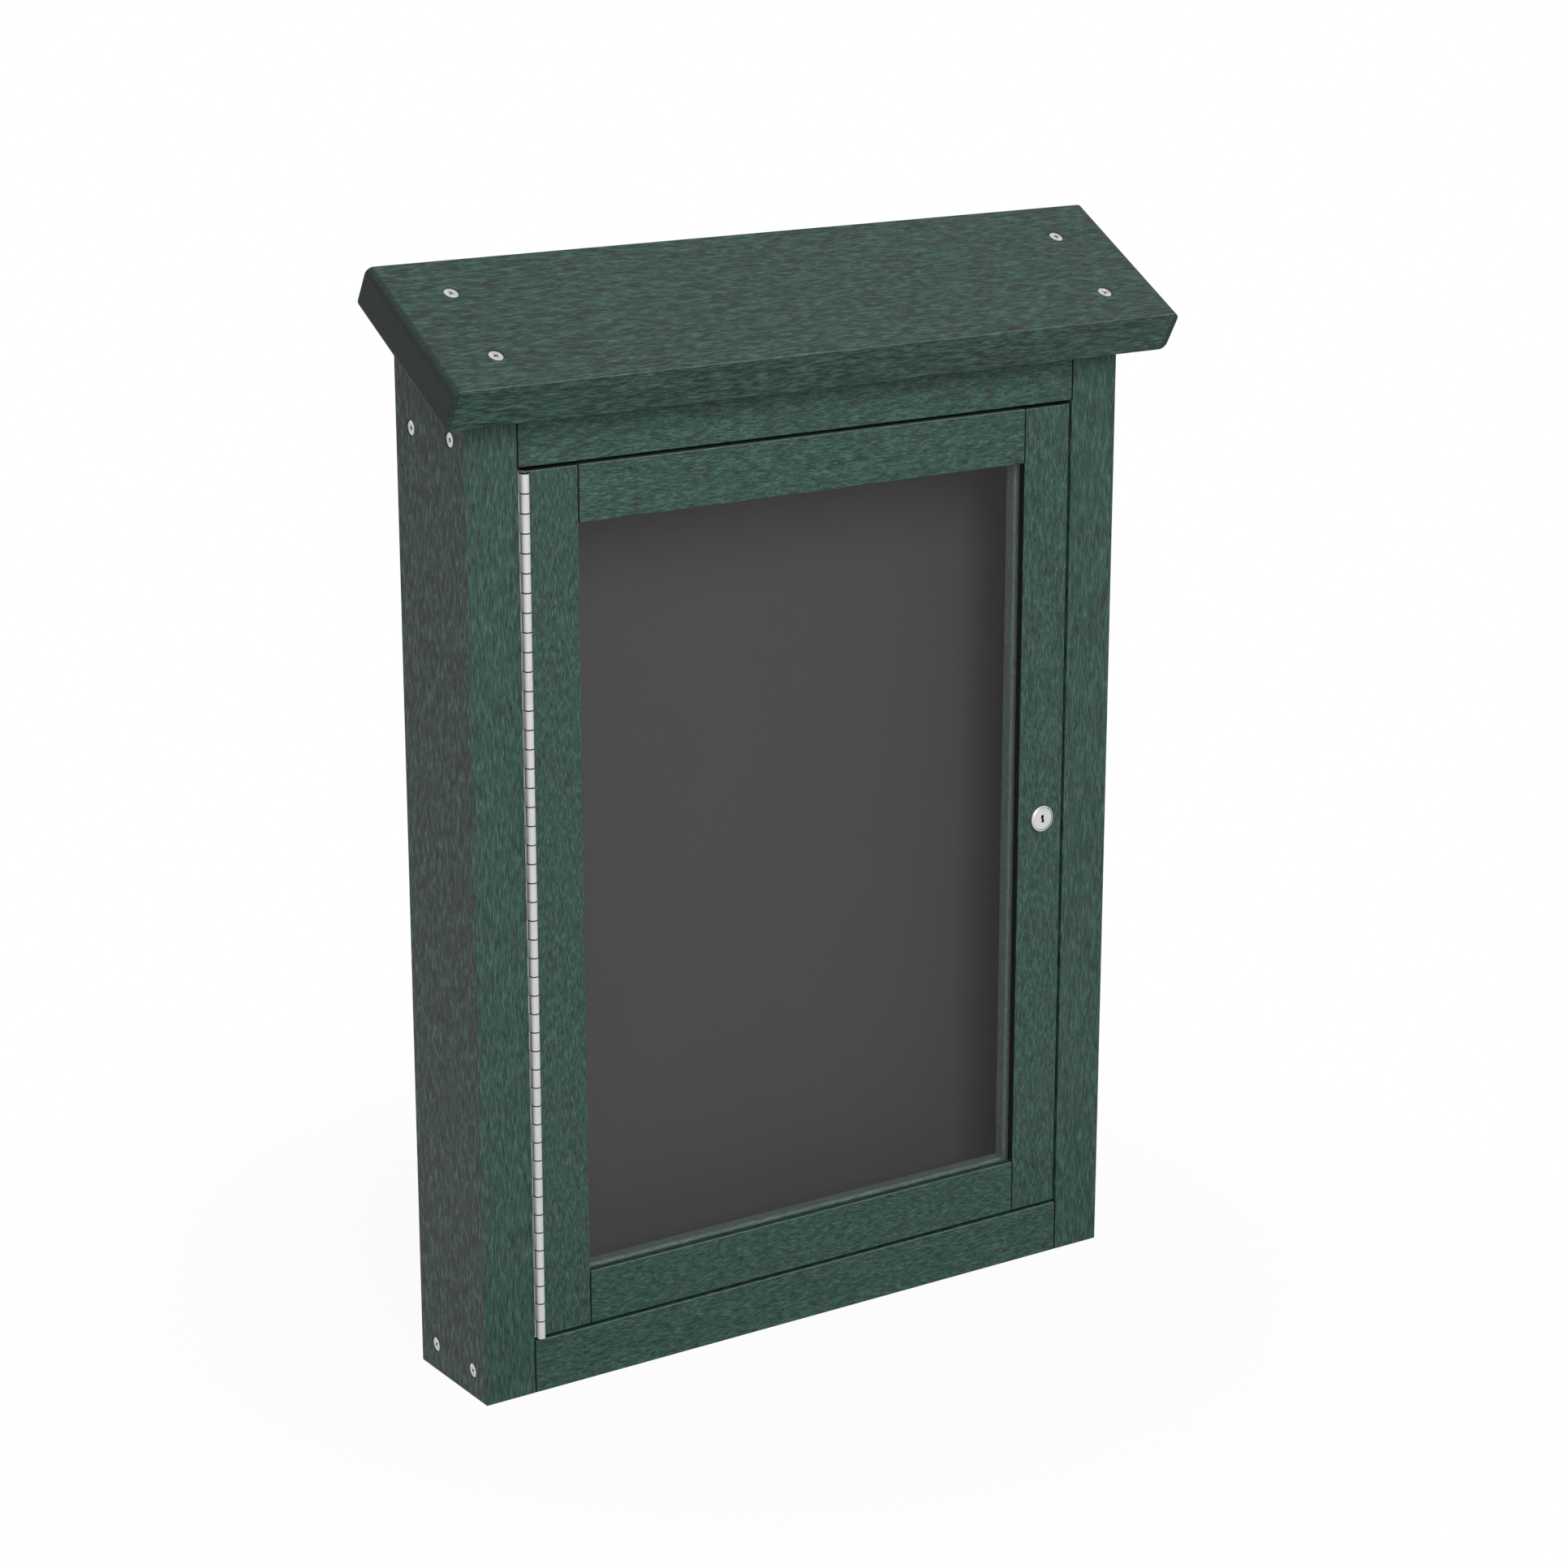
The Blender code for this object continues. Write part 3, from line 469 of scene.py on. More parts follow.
    def joint_lines(self):
        """1 in the case's upright joints, and less in those of the door frame."""
        width = self.settings.joint_width
        edges = (width * 0.7, width * 1.4)
        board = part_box("top_board")
        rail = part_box("door_top_rail")
        aside, above = abs(self.x), abs(self.z)
        case = 1 - abs(aside - board[1].x).step(*edges)
        case = case * above.step(board[0].z - width, board[0].z)
        beside = abs(self.x - rail[0].x).at_most(abs(self.x - rail[1].x))
        door = (1 - beside.step(*edges)) * above.step(rail[0].z - width, rail[0].z)
        door = door * (1 - above.step(rail[1].z, rail[1].z + width))
        return case.at_least(door * 0.85)

    def window_lip_shade(self):
        """Painted shade: 1 on the faces that look into the window, and less on the sill."""
        low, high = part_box("door_top_rail")
        beside = abs(self.x - (low.x + high.x) / 2) - (high.x - low.x) / 2 - 0.3 * MM
        beyond = abs(self.z) - low.z
        inside = 1 - beyond.at_least(beside).step(0.1 * MM, 0.4 * MM)
        sill = (0 - self.z).step(low.z - 1.0 * MM, low.z - 0.5 * MM)
        return inside * (1 - sill * 0.6) * self.behind(low.y)

    def finish(self):
        """Puts the look together and gives its material."""
        settings = self.settings
        speck = self.noise(self.stretch(self.spot, (1.1 * MM,) * 3, self.seed), detail=3.0)
        sawn = self.blend(speck.step(0.35, 0.75) * 0.35, settings.end, settings.dark)
        sawn_part = self.sawn_part()
        # The streaked colours with the painted light of each kind, and the sawn ends
        paint = self.blend(sawn_part, self.painted_light_and_mottle(self.streaked()), sawn)
        paint = self.blend(self.dust(), paint, settings.dust)
        relief = (self.fibre * 0.5 + self.hair * 0.5) * (1 - sawn_part) + speck * sawn_part
        rough = settings.roughness + (self.fibre - 0.5) * 0.25 + sawn_part * 0.1
        # Dark joint lines, and on the boards painted shade on the window lips
        if self.kind in ("board", "side"):
            shade = self.joint_lines()
            if self.kind == "board":
                shade = shade.at_least(self.window_lip_shade())
            paint = self.blend(shade, paint, settings.joint)
            rough = rough + shade * 0.3
        return self.surface(
            Base_Color=paint,
            Roughness=rough,
            Normal=self.bump(relief, 0.3 * MM, 0.4),
            IOR=1.5,
            Specular_IOR_Level=settings.gloss,
        )


def steel_look(name, tint, axis, roughness, metallic=1.0, shadow=None):
    """Bare metal with fine brushed lines along one axis, and dark where shadow says."""
    look = Look(name)
    place = look.place()
    lines = look.noise(look.stretch(place, along_grain(axis, 0.12 * MM, 14 * MM)))
    cloud = look.noise(look.stretch(place, (9 * MM,) * 3), detail=3.0)
    darker = tuple(value * 0.84 for value in tint)
    paint = look.blend(lines.step(0.3, 0.75) * 0.5 + cloud.step(0.4, 0.7) * 0.3, tint, darker)
    if shadow:
        paint = look.blend(shadow(look, place), paint, RECESS_SHADOW)
    return look.surface(
        Base_Color=paint,
        Metallic=metallic,
        Roughness=roughness + (cloud - 0.5) * 0.16 + (lines - 0.5) * 0.1,
        Normal=look.bump(lines, 0.02 * MM, 0.3),
    )


def below_head(look, place):
    """1 inside a screw's recess and under its head, whose top is at z = 0."""
    z = look.parts(place)[2]
    return (1 - z.step(-0.24 * MM, -0.06 * MM)) * 0.8


def below_face(top):
    """A shadow inside the keyway, below a lock's face at a height along its axis."""

    def shadow(look, place):
        x, y, z = look.parts(place)
        inner = 1 - ((x * x + y * y) ** 0.5).step(4.0 * MM, 5.0 * MM)
        return (1 - z.step(top - 0.15 * MM, top - 0.05 * MM)) * inner

    return shadow


def between_knuckles(look, place):
    """1 in the narrow gaps between the knuckles, ahead of the plates."""
    low, high = hinge_box()
    pitch = (high.z - low.z) / bpy.context.scene.message_board.hardware.knuckles
    _, y, z = look.parts(place)
    turn = ((z - low.z) / pitch).fraction()
    beside = (0.5 - abs(turn - 0.5)) * pitch
    ahead = 1 - y.step(low.y + 5.0 * MM, low.y + 6.0 * MM)
    return (1 - beside.step(0.25 * MM, 0.55 * MM)) * ahead


def sheet_look(name, tint, grain, depth, roughness):
    """Dull sheet material with a fine pebbled surface."""
    look = Look(name)
    place = look.place()
    pebble = look.noise(look.stretch(place, (grain,) * 3), roughness=0.4)
    cloud = look.noise(look.stretch(place, (60 * MM,) * 3))
    darker = tuple(value * 0.88 for value in tint)
    paint = look.blend(pebble.step(0.35, 0.7) * 0.15 + cloud.step(0.35, 0.7) * 0.1, tint, darker)
    return look.surface(
        Base_Color=paint,
        Roughness=roughness + (pebble - 0.5) * 0.2,
        Normal=look.bump(pebble, depth, 0.2),
        IOR=1.45,
        Specular_IOR_Level=0.2,
    )


def shown_directly(look):
    """1 for what is seen straight, mirrored or through the pane, 0 for light on its way."""
    path = look.node("ShaderNodeLightPath")
    outputs = path.socket.node.outputs
    for name in ("Is Glossy Ray", "Is Transmission Ray"):
        path = path.at_least(Field(look, outputs[name]))
    return path


def pane_look(settings):
    """A clear sheet that mirrors the white room at a slant, with a painted reflection: a faint glow
    on its front face in place of the room's light.
    """
    look = Look("clear_pane")
    place = look.place()
    ahead = 1 - look.node("ShaderNodeNewGeometry", output="Backfacing")
    smear = look.noise(look.stretch(place, (45 * MM, 45 * MM, 110 * MM)), detail=3.0)
    clear = look.node("ShaderNodeBsdfTransparent", inputs={"Color": (*settings.pane, 1.0)})
    # Painted reflection: an even glow on the front face, seen only directly, standing in for the
    # white room mirrored in the pane
    painted_veil = settings.painted_reflection * (1 + (smear - 0.5) * 0.1) * ahead * shown_directly(look)
    glow = look.node("ShaderNodeEmission", inputs={"Color": painted_veil})
    clear_and_glowing = look.node("ShaderNodeAddShader", inputs={0: clear, 1: glow})
    rough = 0.03 + smear.step(0.45, 0.8) * 0.05
    gloss = look.node("ShaderNodeBsdfGlossy", inputs={"Color": WHITE, "Roughness": rough})
    fresnel = look.node("ShaderNodeFresnel", inputs={"IOR": settings.pane_index})
    mirror = (fresnel - settings.mirror_start).at_least(0.0) * ahead
    shader = look.node("ShaderNodeMixShader", inputs={0: mirror, 1: clear_and_glowing, 2: gloss})
    return look.done(shader)


# Meshes


def mesh_from(shape, name):
    """A mesh from a bmesh, with its normals turned outward."""
    bmesh.ops.recalc_face_normals(shape, faces=shape.faces)
    mesh = bpy.data.meshes.new(name)
    shape.to_mesh(mesh)
    shape.free()
    return mesh


def smooth(mesh, degrees=35):
    mesh.shade_smooth()
    mesh.set_sharp_from_angle(angle=math.radians(degrees))
    return mesh


def placed(name, data):
    """A new object in the scene."""
    obj = bpy.data.objects.new(name, data)
    bpy.context.scene.collection.objects.link(obj)
    return obj


def modify(obj, kind, **settings):
    modifier = obj.modifiers.new("shape", kind)
    for key, value in settings.items():
        setattr(modifier, key, value)


def applied(obj):
    """The object's mesh with its modifiers applied. The object goes."""
    bpy.context.view_layer.update()
    graph = bpy.context.evaluated_depsgraph_get()
    mesh = bpy.data.meshes.new_from_object(obj.evaluated_get(graph))
    mesh.name = obj.data.name
    bpy.data.objects.remove(obj, do_unlink=True)
    return mesh


def combine(mesh, tools, operation="DIFFERENCE"):
    """The mesh cut by, or joined with, each tool mesh."""
    obj = placed("work", mesh)
    workers = [placed("tool", tool) for tool in tools]
    for worker in workers:
        modify(obj, "BOOLEAN", operation=operation, solver="EXACT", object=worker)
    result = applied(obj)
    for worker in workers:
        bpy.data.objects.remove(worker, do_unlink=True)
    return result


def bevelled(mesh, width, segments=2, degrees=30):
    obj = placed("work", mesh)
    limit = {"limit_method": "ANGLE", "angle_limit": math.radians(degrees)}
    modify(obj, "BEVEL", width=width, segments=segments, **limit)
    return applied(obj)


def weighted(mesh):
    """Shades the flat faces flat and only the rounded edges round."""
    obj = placed("work", smooth(mesh, 40))
    modify(obj, "WEIGHTED_NORMAL", keep_sharp=True, weight=80)
    return applied(obj)


def turned(name, profile, sides):
    """A solid turned about Z from (radius, height) pairs, closed where they meet the axis."""
    shape = bmesh.new()
    rings = []
    for radius, height in profile:
        turns = [math.tau * i / sides for i in range(sides if radius else 1)]
        ring = [(radius * math.cos(a), radius * math.sin(a), height) for a in turns]
        rings.append([shape.verts.new(point) for point in ring])
    if len(rings[0]) > 1:
        rings.append(rings[0])
    for upper, lower in zip(rings, rings[1:]):
        for i in range(sides):
            j = (i + 1) % sides
            corners = [upper[i % len(upper)], upper[j % len(upper)]]
            corners += [lower[j % len(lower)], lower[i % len(lower)]]
            face = list(dict.fromkeys(corners))
            if len(face) > 2:
                shape.faces.new(face)
    return mesh_from(shape, name)


def mirrored(half, top, back):
    """A profile with two ends alike, from radii and heights over one end."""
    return [(r, top + z) for r, z in half] + [(r, back - z) for r, z in reversed(half)]


def prism(name, *ends):
    """A solid between two loops of points, one above the other."""
    shape = bmesh.new()
    lower, upper = ([shape.verts.new(point) for point in loop] for loop in ends)
    shape.faces.new(lower)
    shape.faces.new(upper)
    for i in range(len(lower)):
        j = (i + 1) % len(lower)
        shape.faces.new((lower[i], lower[j], upper[j], upper[i]))
    return mesh_from(shape, name)


def slab(name, outline, low, high):
    """An outline in XY raised from one height to another."""
    return prism(name, *([(x, y, z) for x, y in outline] for z in (low, high)))


def square(half):
    return [(-half, -half), (half, -half), (half, half), (-half, half)]


def joined(name, meshes):
    """One mesh that holds several."""
    shape = bmesh.new()
    for mesh in meshes:
        shape.from_mesh(mesh)
        bpy.data.meshes.remove(mesh)
    mesh = bpy.data.meshes.new(name)
    shape.to_mesh(mesh)
    shape.free()
    return mesh


def arc(centre, radius, start, end, steps):
    """Points along an arc, in degrees, both ends included."""
    x, y = centre
    angles = [math.radians(start + (end - start) * i / steps) for i in range(steps + 1)]
    return [(x + radius * math.cos(a), y + radius * math.sin(a)) for a in angles]


def hinge_box():
    """Lowest and highest corner of both hinge leaves together."""
    lows, highs = zip(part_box("hinge_frame_leaf"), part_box("hinge_door_leaf"))
    return Vector([min(c) for c in zip(*lows)]), Vector([max(c) for c in zip(*highs)])


def middle_of(name):
    low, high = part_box(name)
    return (low + high) / 2


def add_piece(name, mesh, look, nodes, matrix=Matrix()):
    """Links a piece, gives it its look, and lets it stand for its CAD nodes."""
    obj = placed(name, mesh)
    obj.matrix_world = matrix
    mesh.materials.clear()
    mesh.materials.append(look)
    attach(obj, NODES[nodes[0]]["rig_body"])
    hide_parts(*nodes)


def dress(name, look):
    """Gives a CAD node that stays its look."""
    for slot in NODES[name].material_slots:
        slot.material = look


# Screws


def cross_recess(radius, depth):
    """The tapered cross that a driver fits, as cutters that stand above the head."""
    half = radius * 0.15
    above = depth * 0.5
    ends = ((above, radius * 1.12, half * 1.25), (-depth, radius * 0.42, half * 0.7))
    loops = [
        [(-reach, -thick, z), (reach, -thick, z), (reach, thick, z), (-reach, thick, z)]
        for z, reach, thick in ends
    ]
    blades = [prism("blade", *loops), prism("blade", *loops)]
    blades[1].transform(Matrix.Rotation(math.pi / 2, 4, "Z"))
    core = [(0.0, above), (radius * 0.36, above), (radius * 0.26, -depth), (0.0, -depth * 1.15)]
    return blades + [turned("core", core, 16)]


def screw_mesh(name, sizes, long):
    """A countersunk wood screw with a cross recess, its head level with z = 0."""
    head, shank, sink = sizes
    rim = head * 0.05
    body = [(0.0, 0.0), (head - rim * 1.6, 0.0), (head - rim * 0.5, -rim * 0.35)]
    body += [(head, -rim * 1.2), (head * 0.985, -rim * 2.4), (shank * 1.04, -sink + rim)]
    body += [(shank * 0.8, -sink - rim * 2), (shank * 0.78, -long * 0.42)]
    body += [(shank * 0.66, -long * 0.44), (shank * 0.62, -long + SCREW_TIP)]
    body += [(shank * 0.3, -long + SCREW_TIP * 0.4), (0.0, -long)]
    return smooth(combine(turned(name, body, 24), cross_recess(head * 0.52, sink * 0.62)))


def screw_matrix(node, direction, spin=0.0):
    """Stands a screw mesh where the CAD screw is, its point along the direction."""
    direction = Vector(direction).normalized()
    points = [vertex.co for vertex in NODES[node].data.vertices]
    middle = sum(points, Vector()) / len(points)
    top = min(point.dot(direction) for point in points)
    head = middle + direction * (top - middle.dot(direction))
    turn = direction.to_track_quat("-Z", "Y").to_matrix().to_4x4()
    return Matrix.Translation(head) @ turn @ Matrix.Rotation(spin, 4, "Z")


def screw_length(node, direction):
    direction = Vector(direction).normalized()
    reach = [vertex.co.dot(direction) for vertex in NODES[node].data.vertices]
    return max(reach) - min(reach)


def screws_of(group, count):
    return [f"{group}_screw_{number}" for number in range(1, count + 1)]


def screw_holes(nodes, drive, sizes, above, lip, below, sides):
    """Cutters for sunk holes, a little wider than the screws that stand in them."""
    head, shank, sink = (size + HOLE_PLAY for size in sizes)
    profile = [(0.0, above), (head, above), (head, -lip)]
    profile += [(shank, -sink), (shank, -below), (0.0, -below)]
    tools = []
    for node in nodes:
        tool = turned("hole", profile, sides)
        tool.transform(screw_matrix(node, drive))
        tools.append(tool)
    return tools


def sheet_holes(nodes, drive, sizes):
    """One cutter for all the screw holes of a piece of sheet metal."""
    return joined("holes", screw_holes(nodes, drive, sizes, 1 * MM, HOLE_PLAY * 0.5, 4 * MM, 28))


def into_roof(tilt):
    """The way that the roof's screws are driven."""
    return (0.0, math.sin(tilt), -math.cos(tilt))


# Operators


class MESSAGEBOARD_OT_lumber(bpy.types.Operator):
    """Gives the straight lumber boards and glazing strips their streaked look"""

    bl_idname = "messageboard.lumber"
    bl_label = "Lumber boards"

    def execute(self, context):
        settings = context.scene.message_board.lumber
        for seed, (name, axis) in enumerate(BOARDS.items(), start=1):
            kind = "side" if name.endswith("side_board") else "board"
            if name.startswith("glazing_strip"):
                kind = "strip"
            dress(name, Lumber(name, axis, seed, kind, settings).finish())
        return {"FINISHED"}


class MESSAGEBOARD_OT_roof(bpy.types.Operator):
    """Builds the slanted roof board with its rounded end edges and sunk screw holes"""

    bl_idname = "messageboard.roof"
    bl_label = "Roof board"

    tilt: number("Tilt", "Slope of the roof", ROOF_TILT, subtype="ANGLE", unit="ROTATION")
    thickness: length("Thickness", "Of the roof board", 31.3 * MM)
    width: length("Width", "Down the slope", 128.4 * MM)
    rounding: length("Rounding", "Radius of the end edges that run down the slope", 5.6 * MM)
    edge: length("Edge", "Rounding of the other edges", 0.7 * MM)

    def execute(self, context):
        settings = context.scene.message_board
        low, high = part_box("roof_board")
        x = (high.x - low.x) / 2 - self.rounding
        y = self.thickness / 2 - self.rounding
        outline = []
        for start, side, level in ((-90, 1, -1), (0, 1, 1), (90, -1, 1), (180, -1, -1)):
            outline += arc((side * x, level * y), self.rounding, start, start + 90, 12)
        board = slab("rounded_roof_board", outline, -self.width / 2, self.width / 2)
        board = bevelled(board, self.edge, 3)
        turn = Matrix.Rotation(math.pi / 2 + self.tilt, 4, "X")
        board.transform(Matrix.Translation((low + high) / 2) @ turn)
        screws = screws_of("roof", 4)
        sizes = settings.hardware.large()
        holes = screw_holes(screws, into_roof(self.tilt), sizes, 2 * MM, HOLE_PLAY, 60 * MM, 32)
        board = weighted(combine(board, holes))
        look = Lumber("roof_board", "X", ROOF_SEED, "roof", settings.lumber).finish()
        add_piece("rounded_roof_board", board, look, ["roof_board"])
        return {"FINISHED"}


class MESSAGEBOARD_OT_window(bpy.types.Operator):
    """Gives the pane, the display board and the back panel their looks"""

    bl_idname = "messageboard.window"
    bl_label = "Window and panels"

    def execute(self, context):
        settings = context.scene.message_board.window
        sheet = sheet_look("display_sheet", settings.display, 0.7 * MM, 0.004 * MM, 0.75)
        panel = sheet_look("panel_sheet", settings.panel, 1.6 * MM, 0.12 * MM, 0.5)
        dress("window_pane", pane_look(settings))
        dress("display_board", sheet)
        dress("back_panel", panel)
        return {"FINISHED"}


class MESSAGEBOARD_OT_screws(bpy.types.Operator):
    """Builds every cross-head screw of the case, the door, the hinge and the strike"""

    bl_idname = "messageboard.screws"
    bl_label = "Screws"

    def execute(self, context):
        hardware = context.scene.message_board.hardware
        look = steel_look("screw_steel", hardware.steel, "X", 0.38, shadow=below_head)
        large, small = hardware.large(), hardware.small()
        to_right, to_left, to_front = (1, 0, 0), (-1, 0, 0), (0, -1, 0)
        groups = (
            ("roof", 4, into_roof(ROOF_TILT), large),
            ("left_side", 4, to_right, large),
            ("right_side", 4, to_left, large),
            ("back_panel", 4, to_front, small),
            ("hinge_frame", 5, to_left, small),
            ("hinge_door", 5, to_right, small),
            ("lock_strike", 2, to_right, small),
            ("door_corner", 4, None, large),
        )
        for group, count, drive, sizes in groups:
            for number, node in enumerate(screws_of(group, count), start=1):
                way = drive or (to_right if middle_of(node).x < 0 else to_left)
                name = node + "_cross_head"
                mesh = screw_mesh(name, sizes, screw_length(node, way))
                matrix = screw_matrix(node, way, math.radians(17.0 * number + 8.0))
                add_piece(name, mesh, look, [node], matrix)
        return {"FINISHED"}


def rolled_leaf(name, side, first, hardware):
    """One hinge leaf in one sheet: a plate that curls into every other knuckle."""
    low, high = hinge_box()
    count = hardware.knuckles
    pitch = (high.z - low.z) / count
    outer = hardware.knuckle_radius
    inner = outer - hardware.leaf_thickness
    edge = hardware.knuckle_edge
    gap = hardware.knuckle_gap / 2
    centre = middle_of("hinge_pin")
    steps, turn_end = 26, 118.0
    columns = [("plate", high.y - centre.y), ("plate", hardware.notch_back), ("curl", 0.0)]
    angles = [180.0 + (180.0 + turn_end) * i / steps for i in range(1, steps + 1)]
    columns += [("round", math.radians(angle)) for angle in angles]
    rows = []
    for k in range(first, count, 2):
        start = low.z + k * pitch + (gap if k > 0 else 0.0)
        stop = low.z + (k + 1) * pitch - (gap if k < count - 1 else 0.0)
        rows += [(start, edge), (start + edge, 0.0), (stop - edge, 0.0), (stop, edge)]
    rows.insert(0 if first else len(rows), (low.z if first else high.z, 0.0))

    shape = bmesh.new()

    @cache
    def vert(i, j, layer):
        z, inset = rows[i]
        kind, value = columns[j]
        if kind == "plate":
            inset = 0.0
        radius = outer - inset if layer == 0 else inner + inset
        x, y = -radius, value
        if kind == "round":
            x, y = radius * math.cos(value), radius * math.sin(value)
        return shape.verts.new((-side * x, y, z))

    cells = set()
    for i in range(len(rows) - 1):
        in_knuckle = 0 <= i - first < len(rows) // 4 * 4 and (i - first) % 4 != 3
        cells.update((i, j) for j in range(len(columns) - 1 if in_knuckle else 1))
    for i, j in sorted(cells):
        for layer in (0, 1):
            corners = ((i, j), (i + 1, j), (i + 1, j + 1), (i, j + 1))
            shape.faces.new([vert(a, b, layer) for a, b in corners])
        walls = (
            ((i - 1, j), (i, j), (i, j + 1)),
            ((i + 1, j), (i + 1, j), (i + 1, j + 1)),
            ((i, j - 1), (i, j), (i + 1, j)),
            ((i, j + 1), (i, j + 1), (i + 1, j + 1)),
        )
        for beside, a, b in walls:
            if beside not in cells:
                shape.faces.new((vert(*a, 0), vert(*b, 0), vert(*b, 1), vert(*a, 1)))
    mesh = mesh_from(shape, name)
    mesh.transform(Matrix.Translation((centre.x, centre.y, 0.0)))
    return mesh


class MESSAGEBOARD_OT_hinge(bpy.types.Operator):
    """Builds both rolled leaves of the continuous hinge and its pin"""

    bl_idname = "messageboard.hinge"
    bl_label = "Continuous hinge"

    def execute(self, context):
        hardware = context.scene.message_board.hardware
        look = steel_look("hinge_steel", hardware.steel, "Z", 0.4, 0.3, between_knuckles)
        # Painted shade: a dark pin, seen in the gaps between the knuckles
        dark = steel_look("shaded_pin_steel", hardware.shaded_pin_steel, "Z", 0.5, 0.6)
        for node, side, first in (("hinge_frame_leaf", -1, 1), ("hinge_door_leaf", 1, 0)):
            name = "rolled_" + node
            leaf = rolled_leaf(name, side, first, hardware)
            screws = screws_of(node.replace("_leaf", ""), 5)
            holes = sheet_holes(screws, (side, 0, 0), hardware.small())
            leaf = smooth(combine(leaf, [holes]), 32)
            add_piece(name, leaf, look, [node])

        low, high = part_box("hinge_pin")
        radius = (high.x - low.x) / 2
        half = (high.z - low.z) / 2
        crown = radius * 0.3
        end = [(0.0, 0.0), (radius * 0.55, -crown * 0.12)]
        end += [(radius * 0.85, -crown * 0.5), (radius, -crown)]
        profile = mirrored(end, half, -half)
        pin = smooth(turned("crowned_hinge_pin", profile, 32))
        matrix = Matrix.Translation((low + high) / 2)
        add_piece("crowned_hinge_pin", pin, dark, ["hinge_pin"], matrix)
        return {"FINISHED"}


